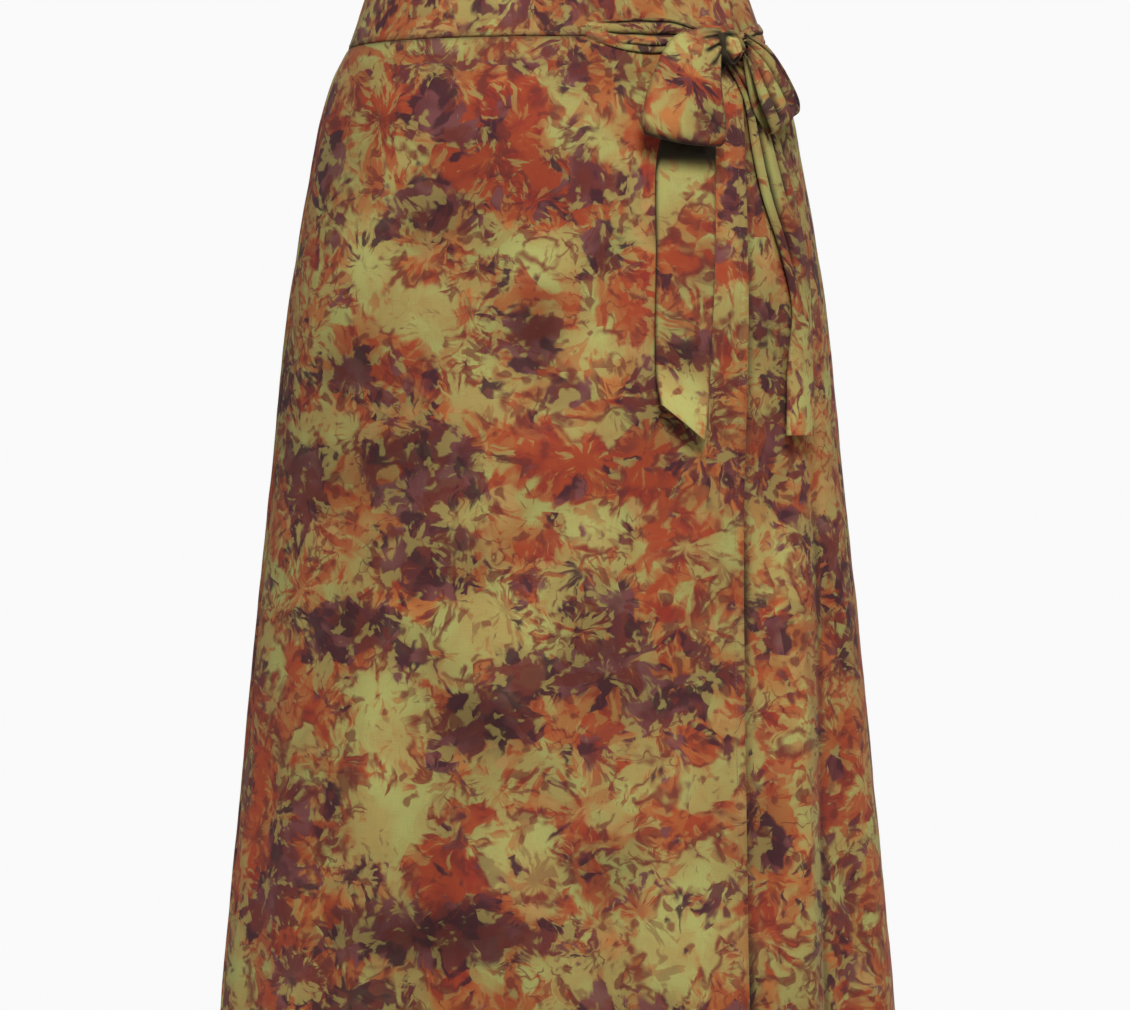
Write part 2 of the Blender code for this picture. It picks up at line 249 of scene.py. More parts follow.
# creases, listed one by one: where they start and end, how wide and how deep, in millimetres
Crease = namedtuple("Crease", "x z endX endZ width depth")
clothCreases = tableOf(
    Crease,
    (110, -60, 20, -150, 16, -0.9),       # pulls that run down from the bow
    (95, -55, -40, -95, 12, -0.8),
    (118, -75, 70, -235, 15, -0.9),
    (60, -45, -90, -62, 9, -0.5),
    (150, -130, 140, -330, 13, 0.8),
    (-14, -593, 151, -593, 3.2, -0.9),    # pressed folds from the packet
    (37, -571, 37, -624, 3.0, -0.8),
    (-150, -470, -175, -700, 15, 0.8),
    (-90, -560, -96, -820, 14, -0.9),
    (-45, -700, -40, -940, 13, 0.9),
    (30, -690, 24, -930, 12, -0.8),
    (95, -520, 104, -760, 13, -0.8),
    (120, -600, 128, -900, 12, 0.7),
    (-205, -180, -222, -380, 16, -0.8),
    (-120, -210, -150, -330, 17, 0.6),
    (190, -250, 196, -430, 11, -0.9),
    (230, -330, 262, -600, 14, -0.9),
    (300, -500, 330, -800, 18, 0.9),
    (180, -500, 184, -820, 10, 0.8),
    (205, -620, 210, -900, 9, -0.8),
)
# the cloth's own unevenness: waves to a metre and their depth, and the seam's small puckers
clothUneven = {"waves": ((22, 0.0007), (60, 0.00025)), "pucker": 0.0005, "puckerReach": 0.012,
               "puckerTurns": 620, "puckerDrift": 90}
creaseFade = {"beyond": 0.2, "over": 0.35}      # shares of a crease's length, past its ends


def creaseRise(distance, height):
    rise = 0.0
    for crease in clothCreases:
        startX, startZ = crease.x / 1000, crease.z / 1000
        runX, runZ = crease.endX / 1000 - startX, crease.endZ / 1000 - startZ
        run = math.hypot(runX, runZ)
        along = ((distance - startX) * runX + (height - startZ) * runZ) / run**2
        inside = min(along, 1 - along) + creaseFade["beyond"]
        if inside > 0:
            aside = abs((distance - startX) * runZ - (height - startZ) * runX) / run
            reach = aside / (crease.width / 1000)
            if reach < 1:
                ends = [(end + creaseFade["beyond"]) / creaseFade["over"]
                        for end in (along, 1 - along)]
                rise += crease.depth / 1000 * eased(ends[0]) * eased(ends[1]) * bell(reach)
    return rise


def clothRise(station, height):
    # everything that lifts the cloth at a place: folds, creases and its own unevenness
    distance = stationDistance(station, height)
    near = nearestWay(distance, girthAt(height))
    place = onOutline(distance, height)[0]
    rise = foldRise(station, height) + creaseRise(near, height)
    for scale, depth in clothUneven["waves"]:
        rise += noise.noise(place * scale) * depth
    if height <= skirtForm["bandBottom"]:
        fade = math.exp((height - skirtForm["bandBottom"]) / clothUneven["puckerReach"])
        phase = (distance * clothUneven["puckerTurns"]
                 + 2 * math.sin(distance * clothUneven["puckerDrift"]))
        rise += clothUneven["pucker"] * fade * math.sin(phase)
    return rise


def onCloth(station, height, lift, shift=0.0):
    point, outward = onOutline(stationDistance(station, height) + shift, height)
    return point + outward * (clothRise(station, height) + lift)


def overCloth(distance, height, lift):
    # for what lies on the cloth: it follows the folds, not the finer creases
    station = distanceStation(distance, height)
    point, outward = onOutline(distance, height)
    return point + outward * (foldRise(station, height) + lift)


# the print: leaf green patches, rust and brick strokes, tan washes and combed plum patches
dyeLook = {
    "lime": (0.238, 0.229, 0.071, 1.0),
    "leaf": (0.230, 0.176, 0.054, 1.0),
    "tan": (0.280, 0.160, 0.054, 1.0),
    "ochre": (0.240, 0.110, 0.032, 1.0),
    "orange": (0.325, 0.096, 0.024, 1.0),
    "russet": (0.245, 0.062, 0.018, 1.0),
    "rust": (0.225, 0.034, 0.013, 1.0),
    "brick": (0.182, 0.020, 0.012, 1.0),
    "maroon": (0.104, 0.020, 0.014, 1.0),
    "plum": (0.078, 0.020, 0.022, 1.0),
    "mauve": (0.120, 0.041, 0.041, 1.0),
    "ink": (0.027, 0.010, 0.015, 1.0),
    "wrongSide": (0.36, 0.31, 0.22, 1.0),
    # painted shade: the near-black colour that painted shade mixes in, not a dye
    "paintedShade": (0.010, 0.007, 0.005, 1.0),
    "drift": (24.0, 0.014, 1.5, (3.1, 1.7)),    # how the dye ran: noise scale, reach, detail
    "fine": (90.0, 0.0055, 2.0, (1.4, 8.8)),    # and its feathered edges
    "cellScale": 46.0,          # dye cells to a metre
    "pinch": (0.001, 0.016),    # no strokes in a floret's very middle
    "patchVeins": 0.6,          # how strongly the veins show in the green patches
    "innerRim": (0.575, 0.625),
    "outerRim": (0.635, 0.690),
    "lineWidth": 0.026,
    "lineEdge": 0.020,
}
# fans of strokes: florets to a metre, strokes around one, changes along a metre, shift
dyeFans = {
    "broad": (8.0, 1.7, 12.0, 0.0),
    "strokes": (10.5, 2.5, 17.0, 1.9),
    "combs": (14.0, 2.8, 26.0, 5.3),
    "veins": (19.0, 3.2, 44.0, 8.8),
}
# a field of dye: noise on a place and what else it is mixed of, with the noise's own weight; it
# takes from low, is full at high, and covers most of what is under it there
Field = namedtuple("Field", "place scale detail roughness shift low high most parts own",
                   defaults=(None, None, 1.0, (), 1.0))
dyeFields = {
    "limePatches": Field("drift", 22.0, 2.0, 0.50, (6, 6), 0.36, 0.60),
    "tanPatches": Field("fine", 26.0, 2.0, 0.50, (12, 16), 0.40, 0.62),
    "washPatches": Field("drift", 21.0, 2.0, 0.50, (31, 6), 0.38, 0.62),
    "runPatches": Field("drift", 30.0, 2.0, 0.50, (5, 9), 0.38, 0.60),
    "plumPatches": Field("drift", 26.0, 2.0, 0.50, (3, 3), 0.42, 0.64),
    "tan": Field("fine", 16.0, 2.0, 0.60, (2, 5), 0.455, 0.590, 0.90,
                 (("broad", 0.55), ("leafTone", -0.30))),
    "wash": Field("fine", 15.0, 2.0, 0.60, (9, 4), 0.560, 0.690, 0.85,
                  (("rustTone", 0.34), ("broad", 0.60), ("leafTone", -0.20))),
    "stroke": Field("drift", 13.0, 1.5, 0.50, (21, 2), 0.222, 0.310, 0.84,
                    (("strokes", 1.0), ("rustTone", 0.22), ("leafTone", -0.09), ("lot", 0.05)),
                    0.42),
    "comb": Field("drift", 17.0, 1.5, 0.50, (41, 2), 0.270, 0.358, 0.80,
                  (("combs", 1.0), ("rustTone", 0.16), ("leafTone", -0.07), ("shade", 0.05)),
                  0.42),
    "blot": Field("fine", 17.0, 2.0, 0.60, (13, 7), 0.585, 0.670, 0.85,
                  (("rustTone", 0.33), ("strokes", 0.35), ("combs", 0.30))),
    "gap": Field("drift", 21.0, 1.5, 0.50, (61, 4), 0.270, 0.345, 0.75, (("veins", -1.0),), 0.42),
    "vein": Field("drift", 19.0, 1.5, 0.50, (71, 2), 0.255, 0.340, 0.75,
                  (("veins", 1.0), ("rustTone", 0.10)), 0.42),
    "patch": Field("fine", 12.0, 2.5, 0.60, (81, 3), 0.615, 0.700, 0.85,
                   (("leafTone", 0.42), ("strokes", -0.50))),
    "rim": Field("fine", 34.0, 2.0, 0.50, (91, 1), 0.44, 0.58, 0.80),
    "plum": Field("fine", 14.0, 3.0, 0.62, (33, 2), 0.532, 0.622, 0.93,
                  (("plumTone", 0.36), ("combs", 0.75), ("lot", 0.10), ("leafTone", -0.10))),
    "dark": Field("fine", 28.0, 2.0, 0.60, (27, 3), 0.46, 0.60, 0.75),
    "core": Field("fine", 34.0, 1.5, 0.60, (8, 14), 0.49, 0.60, 0.85, (("strokes", 0.9),)),
    "fleck": Field("fine", 46.0, 2.0, 0.60, (17, 5), 0.560, 0.660, 0.85, (("veins", -0.9),)),
    "speck": Field("fine", 60.0, 1.0, 0.50, (23, 8), 0.66, 0.74, 0.75, (("plumTone", 0.10),)),
    "line": Field("fine", 32.0, 2.0, 0.60, (101, 6), parts=(("combs", 0.30), ("whole", -0.5))),
    "lineGate": Field("drift", 27.0, 2.0, 0.60, (111, 5), 0.47, 0.58, 0.72),
    "depth": Field("place", 5.0, 1.0, 0.50, (51, 9), own=0.5,
                   parts=(("whole", 0.75), ("leafTone", 0.24), ("plumTone", -0.38))),
}
# the order in which the dyes lie on the green ground: field, its two dyes and what mixes them
dyeLayers = (
    ("tan", "tan", "ochre", "tanPatches"),
    ("wash", "orange", "russet", "washPatches"),
    ("stroke", "rust", "russet", "runPatches"),
    ("comb", "maroon", "rust", "runPatches"),
    ("blot", "brick", "rust", "runPatches"),
    ("gap", "leaf", "ochre", "washPatches"),
    ("vein", "maroon", "rust", "runPatches"),
)


def addNode(tree, kind, inputs=None, **settings):
    node = tree.nodes.new(kind)
    for name, value in settings.items():
        setattr(node, name, value)
    for key, value in (inputs or {}).items():
        if isinstance(value, bpy.types.NodeSocket):
            tree.links.new(value, node.inputs[key])
        else:
            node.inputs[key].default_value = value
    return node


def calc(tree, operation, first, second=0.0, third=0.0):
    return addNode(tree, "ShaderNodeMath", {0: first, 1: second, 2: third},
                   operation=operation).outputs[0]


def vectorCalc(tree, operation, first, second):
    return addNode(tree, "ShaderNodeVectorMath", {0: first, 1: second},
                   operation=operation).outputs[0]


def soften(tree, value, low, high):
    return addNode(tree, "ShaderNodeMapRange",
                   {"Value": value, "From Min": low, "From Max": high},
                   interpolation_type="SMOOTHSTEP").outputs["Result"]


def layOver(tree, share, under, over):
    return addNode(tree, "ShaderNodeMix", {0: share, 6: under, 7: over},
                   data_type="RGBA").outputs[2]


def noiseAt(tree, place, scale, detail=2.0, roughness=0.5, output="Fac", shift=(0, 0)):
    moved = vectorCalc(tree, "ADD", place, (*shift, 0))
    return addNode(tree, "ShaderNodeTexNoise",
                   {"Vector": moved, "Scale": scale, "Detail": detail, "Roughness": roughness},
                   noise_dimensions="2D").outputs[output]


def pushed(tree, place, scale, reach, detail, shift):
    # a place moved about by noise, which gives the dye its feathered run
    colour = noiseAt(tree, place, scale, detail, 0.55, "Color", shift)
    centred = vectorCalc(tree, "SUBTRACT", colour, (0.5, 0.5, 0.5))
    return vectorCalc(tree, "ADD", place, vectorCalc(tree, "MULTIPLY", centred, (reach, reach, 0)))


def newGroup(name, inputs, outputs):
    tree = bpy.data.node_groups.new(name, "ShaderNodeTree")
    for direction, sockets in (("INPUT", inputs), ("OUTPUT", outputs)):
        for socket, kind in sockets.items():
            tree.interface.new_socket(socket, in_out=direction, socket_type="NodeSocket" + kind)
    return tree, tree.nodes.new("NodeGroupInput").outputs, tree.nodes.new("NodeGroupOutput").inputs


def strokeFan(tree, drift, fine, scale, spread, length, shift):
    # strokes that run out from scattered florets
    moves = (shift, shift * 0.7, 0)
    floret = addNode(tree, "ShaderNodeTexVoronoi",
                     {"Vector": vectorCalc(tree, "ADD", drift, moves), "Scale": scale,
                      "Randomness": 1.0}, voronoi_dimensions="2D", feature="F1")
    spoke = vectorCalc(tree, "SUBTRACT", vectorCalc(tree, "ADD", fine, moves),
                       floret.outputs["Position"])
    radius = addNode(tree, "ShaderNodeVectorMath", {0: spoke}, operation="LENGTH").outputs["Value"]
    heading = addNode(tree, "ShaderNodeVectorMath", {0: spoke}, operation="NORMALIZE").outputs[0]
    heading = vectorCalc(tree, "MULTIPLY", heading, (spread, spread, 0))
    along = addNode(tree, "ShaderNodeCombineXYZ",
                    {2: calc(tree, "MULTIPLY", radius, length)}).outputs[0]
    ownPlace = vectorCalc(tree, "MULTIPLY", floret.outputs["Color"], (30, 30, 30))
    fanPlace = vectorCalc(tree, "ADD", vectorCalc(tree, "ADD", heading, along), ownPlace)
    fan = addNode(tree, "ShaderNodeTexNoise", {"Vector": fanPlace, "Scale": 1.0, "Detail": 2.0,
                                               "Roughness": 0.58}).outputs["Fac"]
    return calc(tree, "MULTIPLY", calc(tree, "SUBTRACT", fan, 0.5),
                soften(tree, radius, *dyeLook["pinch"]))


def makeDyeGroup():
    tree, given, wanted = newGroup("dyedPrint", {"Place": "Vector", "Tone": "Color"},
                                   {"Color": "Color"})
    known = {"place": given["Place"], "whole": 1.0}
    known["drift"] = pushed(tree, given["Place"], *dyeLook["drift"])
    known["fine"] = pushed(tree, known["drift"], *dyeLook["fine"])
    tones = addNode(tree, "ShaderNodeSeparateColor", {0: given["Tone"]}).outputs
    for index, name in enumerate(("leafTone", "rustTone", "plumTone")):
        known[name] = calc(tree, "SUBTRACT", tones[index], 0.5)
    for name, fan in dyeFans.items():
        known[name] = strokeFan(tree, known["drift"], known["fine"], *fan)

    # small dye cells break up whatever lies over them
    cellPlace = vectorCalc(tree, "MULTIPLY", known["fine"], (dyeLook["cellScale"],) * 3)
    cell = addNode(tree, "ShaderNodeTexVoronoi",
                   {"Vector": cellPlace, "Scale": 1.0, "Smoothness": 0.25, "Randomness": 1.0},
                   voronoi_dimensions="2D", feature="SMOOTH_F1")
    chances = addNode(tree, "ShaderNodeSeparateColor", {0: cell.outputs["Color"]}).outputs
    for index, name in enumerate(("lot", "shade")):
        known[name] = calc(tree, "SUBTRACT", chances[index], 0.5)

    levels, shares = {}, {}
    for name, field in dyeFields.items():
        grain = noiseAt(tree, known[field.place], field.scale, field.detail, field.roughness,
                        shift=field.shift)
        level = calc(tree, "MULTIPLY", grain, field.own)
        for part, weight in field.parts:
            level = calc(tree, "MULTIPLY_ADD", known[part], weight, level)
        levels[name] = level
        if field.high:
            shares[name] = calc(tree, "MULTIPLY", soften(tree, level, field.low, field.high),
                                field.most)

    def twoDyes(first, second, patches):
        return layOver(tree, shares[patches], dyeLook[first], dyeLook[second])

    colour = green = twoDyes("lime", "leaf", "limePatches")
    pairs = {}
    for name, first, second, patches in dyeLayers:
        pairs[name] = twoDyes(first, second, patches)
        colour = layOver(tree, shares[name], colour, pairs[name])

    # star-shaped patches kept clear by the resist, with veins in them and dark rims
    inPatch = calc(tree, "MULTIPLY", shares["vein"], dyeLook["patchVeins"])
    inPatch = layOver(tree, inPatch, green, pairs["vein"])
    colour = layOver(tree, shares["patch"], colour, inPatch)
    rim = calc(tree, "SUBTRACT", soften(tree, levels["patch"], *dyeLook["innerRim"]),
               soften(tree, levels["patch"], *dyeLook["outerRim"]))
    rim = calc(tree, "MULTIPLY", rim, shares["rim"])
    colour = layOver(tree, rim, colour, dyeLook["maroon"])

    # plum patches with combed edges and inky cores, flecked with leaf green
    plumColour = twoDyes("plum", "mauve", "plumPatches")
    for name, dye in (("dark", "maroon"), ("core", "ink"), ("fleck", "leaf")):
        plumColour = layOver(tree, shares[name], plumColour, dyeLook[dye])
    colour = layOver(tree, shares["plum"], colour, plumColour)

    # specks where the dye pooled, and short lines where it ran along a crease of the wax
    colour = layOver(tree, shares["speck"], colour, dyeLook["maroon"])
    inLine = calc(tree, "SUBTRACT", dyeLook["lineWidth"], calc(tree, "ABSOLUTE", levels["line"]))
    lines = calc(tree, "MULTIPLY", soften(tree, inLine, 0.0, dyeLook["lineEdge"]),
                 shares["lineGate"])
    lines = calc(tree, "MULTIPLY", lines, calc(tree, "SUBTRACT", 1.0, shares["patch"]))
    colour = layOver(tree, lines, colour, dyeLook["maroon"])

    # whole areas took the dye more or less strongly
    deepened = addNode(tree, "ShaderNodeVectorMath", {0: colour, "Scale": levels["depth"]},
                       operation="SCALE").outputs[0]
    tree.links.new(deepened, wanted["Color"])
    return tree


# slubs are noise drawn out along the yarns
weaveLook = {"pitch": 0.0011, "slubLong": 130, "slubFine": 2600, "gridShare": 0.35}


def makeWeaveGroup():
    # a plain weave with slubs: heights for a bump, and how much the yarns vary in colour
    tree, given, wanted = newGroup("plainWeave", {"Place": "Vector"},
                                   {"Height": "Float", "Slub": "Float"})
    axes = addNode(tree, "ShaderNodeSeparateXYZ", {0: given["Place"]}).outputs
    long, fine = weaveLook["slubLong"], weaveLook["slubFine"]
    waves, slubs = [], []
    for axis, stretch in ((0, (fine, long, 0)), (1, (long, fine, 0))):
        phase = calc(tree, "MULTIPLY", axes[axis], 2 * math.pi / weaveLook["pitch"])
        waves.append(calc(tree, "SINE", phase))
        slubs.append(addNode(tree, "ShaderNodeTexNoise",
                             {"Vector": vectorCalc(tree, "MULTIPLY", given["Place"], stretch),
                              "Scale": 0.6, "Detail": 1.0}, noise_dimensions="2D").outputs["Fac"])
    grid = calc(tree, "MULTIPLY", *waves)
    slub = calc(tree, "ADD", *slubs)
    tree.links.new(calc(tree, "MULTIPLY_ADD", grid, weaveLook["gridShare"], slub), wanted["Height"])
    tree.links.new(calc(tree, "MULTIPLY", slub, 0.5), wanted["Slub"])
    return tree


dyeGroup = makeDyeGroup()
weaveGroup = makeWeaveGroup()
print("dye and weave made")
clothLook = {"roughness": 0.90, "sheen": 0.03, "sheenRoughness": 0.5, "specular": 0.15,
             "weaveDepth": 0.00012, "weaveStrength": 0.35, "wrongSideWash": 0.35,
             "slubFrom": 0.3, "slubTo": 0.7, "darkYarn": 0.93, "paleYarn": 1.05}


def newMaterial(name):
    made = bpy.data.materials.new(name)
    made.use_nodes = True
    return made, made.node_tree, made.node_tree.nodes["Principled BSDF"].inputs


def makeClothMaterial(name, offset, wrongSide=False):
    made, tree, sockets = newMaterial(name)
    flat = addNode(tree, "ShaderNodeUVMap", uv_map="UVMap").outputs[0]
    moved = addNode(tree, "ShaderNodeMapping",
                    {"Vector": flat, "Location": (*offset, 0)}).outputs[0]
    tone = addNode(tree, "ShaderNodeAttribute", attribute_name="dyeTone").outputs["Color"]
    printed = addNode(tree, "ShaderNodeGroup", node_tree=dyeGroup)
    tree.links.new(moved, printed.inputs["Place"])
    tree.links.new(tone, printed.inputs["Tone"])
    weave = addNode(tree, "ShaderNodeGroup", node_tree=weaveGroup)
    tree.links.new(flat, weave.inputs["Place"])
    colour = printed.outputs["Color"]
    if wrongSide:
        colour = layOver(tree, clothLook["wrongSideWash"], colour, dyeLook["wrongSide"])
    yarn = addNode(tree, "ShaderNodeMapRange", {
        "Value": weave.outputs["Slub"], "From Min": clothLook["slubFrom"],
        "From Max": clothLook["slubTo"], "To Min": clothLook["darkYarn"],
        "To Max": clothLook["paleYarn"]}).outputs["Result"]
    # painted shade: this attribute mixes the colour towards the near-black shade colour
    paintedShade = addNode(tree, "ShaderNodeAttribute", attribute_name="paintedShade").outputs["Fac"]
    colour = layOver(tree, paintedShade, colour, dyeLook["paintedShade"])
    shaded = addNode(tree, "ShaderNodeHueSaturation", {"Value": yarn, "Color": colour})
    tree.links.new(shaded.outputs["Color"], sockets["Base Color"])
    bump = addNode(tree, "ShaderNodeBump", {"Strength": clothLook["weaveStrength"],
                                            "Distance": clothLook["weaveDepth"],
                                            "Height": weave.outputs["Height"]})
    tree.links.new(bump.outputs["Normal"], sockets["Normal"])
    for socket, value in (("Roughness", "roughness"), ("Sheen Weight", "sheen"),
                          ("Sheen Roughness", "sheenRoughness"),
                          ("Specular IOR Level", "specular")):
        sockets[socket].default_value = clothLook[value]
    return made


# dye zones on the front, listed one by one: centre and half sizes in the frame that the camera
# sees, then how much more leaf green, rust and plum the dye holds there
DyeZone = namedtuple("DyeZone", "column row halfWidth halfHeight leaf rust plum")
frontZones = tableOf(
    DyeZone,
    (450, 62, 90, 20, 0.0, 0.2, 0.6),
    (600, 68, 55, 22, 0.0, 0.0, 0.7),
    (561, 105, 33, 27, 0.6, 0.2, 0.0),
    (470, 112, 72, 40, -0.8, 1.35, 0.0),
    (400, 88, 28, 22, 0.6, 0.0, 0.0),
    (378, 135, 18, 45, -0.3, 0.6, 0.1),
    (395, 165, 26, 24, 0.9, 0.0, -0.3),
    (335, 170, 26, 55, 0.0, 0.0, 0.7),
    (432, 218, 42, 32, 0.1, 0.0, 1.1),
    (548, 190, 57, 40, -0.9, 1.35, -0.1),
    (490, 160, 59, 31, -0.6, 1.1, 0.1),
    (622, 132, 40, 42, 0.8, 0.0, -0.2),
    (628, 200, 22, 36, 0.4, 0.0, 0.4),
    (602, 252, 26, 24, -0.3, 0.2, 0.9),
    (365, 248, 36, 40, 1.1, -0.3, -0.4),
    (335, 300, 32, 45, 0.6, 0.0, 0.0),
    (425, 305, 60, 45, 0.9, 0.0, -0.3),
    (415, 270, 30, 20, -0.3, 0.6, -0.1),
    (545, 255, 45, 28, 1.1, 0.0, -0.4),
    (538, 330, 28, 42, -0.5, 0.0, 1.4),
    (480, 385, 55, 42, 1.0, 0.1, -0.4),
    (592, 352, 38, 35, 1.1, 0.0, -0.5),
    (640, 290, 26, 40, -0.2, 0.8, -0.2),
    (352, 372, 24, 30, -0.2, 0.1, 0.8),
    (425, 365, 36, 26, 0.1, 0.5, 0.0),
    (325, 425, 40, 36, 0.6, 0.0, 0.0),
    (405, 470, 66, 44, -0.2, 0.0, 1.1),
    (312, 480, 34, 44, -0.2, 0.0, 0.9),
    (560, 430, 70, 24, 0.7, 0.5, -0.4),
    (590, 470, 80, 36, -0.6, 1.25, -0.2),
    (670, 470, 45, 40, -0.1, 0.8, -0.2),
    (592, 528, 34, 30, 1.1, 0.0, -0.4),
    (692, 545, 48, 30, 0.6, 0.3, -0.2),
    (435, 560, 80, 36, -0.3, 0.2, 1.1),
    (300, 560, 40, 36, 0.3, 0.0, 0.3),
    (352, 622, 36, 34, -0.2, 0.0, 1.0),
    (490, 632, 56, 46, 1.2, -0.1, -0.4),
    (602, 618, 42, 40, -0.2, 0.0, 1.0),
    (672, 600, 42, 28, -0.1, 0.8, 0.0),
    (640, 682, 80, 40, -0.2, 0.0, 1.1),
    (560, 668, 45, 30, -0.1, 0.0, 0.8),
    (482, 722, 50, 34, -0.4, 0.0, 1.4),
    (385, 720, 50, 60, 1.1, 0.0, -0.4),
    (290, 655, 34, 70, 0.4, 0.4, 0.0),
    (258, 745, 30, 66, -0.4, 1.1, 0.1),
    (400, 800, 60, 50, 1.0, 0.0, -0.3),
    (600, 738, 80, 26, 0.2, 0.6, 0.0),
    (512, 855, 42, 62, 1.2, -0.1, -0.4),
    (640, 785, 75, 38, 0.8, 0.2, -0.2),
    (300, 820, 38, 60, -0.1, 0.5, 0.6),
    (465, 882, 55, 36, -0.5, 1.3, 0.0),
    (435, 935, 110, 32, -0.5, 0.0, 1.5),
    (608, 872, 40, 36, -0.1, 0.1, 0.9),
    (690, 925, 60, 75, 1.1, -0.1, -0.4),
    (280, 905, 48, 65, -0.4, 1.1, 0.3),
    (350, 965, 40, 36, 0.3, 0.5, 0.0),
    (565, 985, 50, 26, 0.5, 0.2, 0.1),
    (775, 335, 20, 50, -0.3, 0.0, 1.0),
    (772, 450, 26, 56, -0.2, 0.1, 0.9),
    (788, 560, 32, 36, 0.8, 0.0, -0.2),
    (832, 590, 22, 66, -0.1, 0.1, 0.8),
    (775, 645, 24, 30, 0.0, 0.5, 0.4),
    (798, 735, 24, 50, 0.8, 0.0, -0.1),
    (850, 760, 26, 60, 0.0, 0.7, 0.1),
    (766, 835, 20, 48, -0.2, 0.0, 1.0),
    (812, 860, 22, 60, 0.5, 0.1, 0.0),
    (858, 930, 26, 60, 0.0, 0.4, 0.6),
    (782, 945, 24, 40, 0.5, 0.0, 0.0),
)


def seenOnFront(column, row):
    # how far round and how high the outer cloth lies that the camera sees there
    awayX, awayY, awayZ = view["place"]
    cell = view["widthThere"] / view["frame"][0]
    distance, height, scale = 0.0, awayZ, cell
    for attempt in range(4):
        height = awayZ + (view["frame"][1] / 2 - row) * scale
        height = min(max(height, skirtForm["hem"]), skirtForm["bandTop"])
        farthest = halfOutline(round(height, 5))[1][outlineSteps // 2]
        low, high = -farthest, farthest
        for halving in range(12):
            distance = (low + high) / 2
            point = onOutline(distance, height)[0]
            scale = cell * (1 - point.y / awayY)
            if view["frame"][0] / 2 + (point.x - awayX) / scale < column:
                low = distance
            else:
                high = distance
    return distance, height


PlacedZone = namedtuple("PlacedZone", "distance height halfWidth halfHeight leaf rust plum")


def placedZone(zone):
    distance, height = seenOnFront(zone.column, zone.row)
    start = seenOnFront(zone.column - zone.halfWidth, zone.row)[0]
    end = seenOnFront(zone.column + zone.halfWidth, zone.row)[0]
    # near the side, where the cloth turns away, a zone isn't drawn out for ever
    halfWidth = min((end - start) / 2, zone.halfWidth * view["clothScale"] * view["longest"])
    return PlacedZone(distance, height, halfWidth, zone.halfHeight * view["clothScale"], *zone[4:])


placedZones = [placedZone(zone) for zone in frontZones]
print("dye zones placed", len(placedZones))
dyeSeeds = {"front": 0, "back": 31, "innerBand": 57}     # nought keeps to the front's zones
toneLook = {"frontHalf": 0.24, "frontEdge": 0.06, "waves": 8, "wander": 0.7,
            "zoneReach": 1.6, "zoneStrength": 0.58, "zoneFall": 1.2}


def dyeTone(distance, height, seed):
    # zones rule the front; elsewhere the dye wanders by itself
    wander = toneLook["wander"]
    if not seed:
        wander *= eased((abs(distance) - toneLook["frontHalf"]) / toneLook["frontEdge"])
    tone = Vector((0.5, 0.5, 0.5))
    for axis in range(3):
        spot = Vector((distance * toneLook["waves"], height * toneLook["waves"], seed + 13 * axis))
        tone[axis] += wander * noise.noise(spot)
    for zone in placedZones if not seed else ():
        away = (((distance - zone.distance) / zone.halfWidth) ** 2
                + ((height - zone.height) / zone.halfHeight) ** 2) / toneLook["zoneReach"]
        if away < 1:
            strength = toneLook["zoneStrength"] * (1 - away) ** toneLook["zoneFall"]
            tone += Vector((zone.leaf, zone.rust, zone.plum)) * strength
    return (*tone, 1.0)


def newPiece(name, mesh, materials):
    # a finished bmesh becomes a piece of the scene
    data = bpy.data.meshes.new(name)
    mesh.to_mesh(data)
    mesh.free()
    data.shade_smooth()
    for material in materials:
        data.materials.append(material)
    piece = bpy.data.objects.new(name, data)
    bpy.context.scene.collection.objects.link(piece)
    print("made", name)
    return piece


def clothLayers(mesh):
    # the flat cloth's map, the dye's tone and how much painted shade darkens a place
    return (mesh.loops.layers.uv.new("UVMap"), mesh.verts.layers.float_color.new("dyeTone"),
            mesh.verts.layers.float.new("paintedShade"))


def layFlat(mesh, flatLayer, flat):
    for face in mesh.faces:
        for loop in face.loops:
            loop[flatLayer].uv = flat[loop.vert]


def clothSheet(name, node, columns, rows, place, materials, thickness, offset=-1.0):
    # place(column, row) gives a point, its place on the flat cloth, its tone and its painted shade
    mesh = bmesh.new()
    bmesh.ops.create_grid(mesh, x_segments=columns, y_segments=rows, size=0.5)
    flatLayer, toneLayer, paintedShadeLayer = clothLayers(mesh)
    flat = {}
    for corner in mesh.verts:
        column, row = round((corner.co.x + 0.5) * columns), round((0.5 - corner.co.y) * rows)
        point, flat[corner], corner[toneLayer], corner[paintedShadeLayer] = place(column, row)
        corner.co = point
    layFlat(mesh, flatLayer, flat)
    piece = newPiece(name, mesh, materials)
    wall = piece.modifiers.new("wall", "SOLIDIFY")
    wall.thickness = thickness
    wall.offset = offset
    wall.material_offset = len(materials) - 1
    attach(piece, "root")
    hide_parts(node)
    return piece


def steps(start, end, count):
    return [start + (end - start) * index / count for index in range(count + 1)]


panelLook = {"thickness": 0.0007, "edgeTurn": 0.009, "hemTurn": 0.020, "turnDepth": 0.0017,
             "turnRound": 0.0004, "deepest": 1.25, "seamLap": 0.0003, "rows": 190,
             "rowCrowding": 1.1, "shadowEnd": 0.12, "shadowLeast": 0.7, "shadowUneven": 0.9,
             "shadowWaves": 9, "darkest": 0.9}
seamLook = {"dip": 0.0007, "reach": 0.0018, "shade": 0.55, "shadeReach": 0.0022}
# a painted shadow: a dark line down the cloth where a layer lies over it
ShadowLine = namedtuple("ShadowLine", "station reach start depth")


def seamDip(away):
    return seamLook["dip"] * math.exp(-away / seamLook["reach"])


# painted shade along a seam
def seamShade(away):
    return seamLook["shade"] * math.exp(-away / seamLook["shadeReach"])


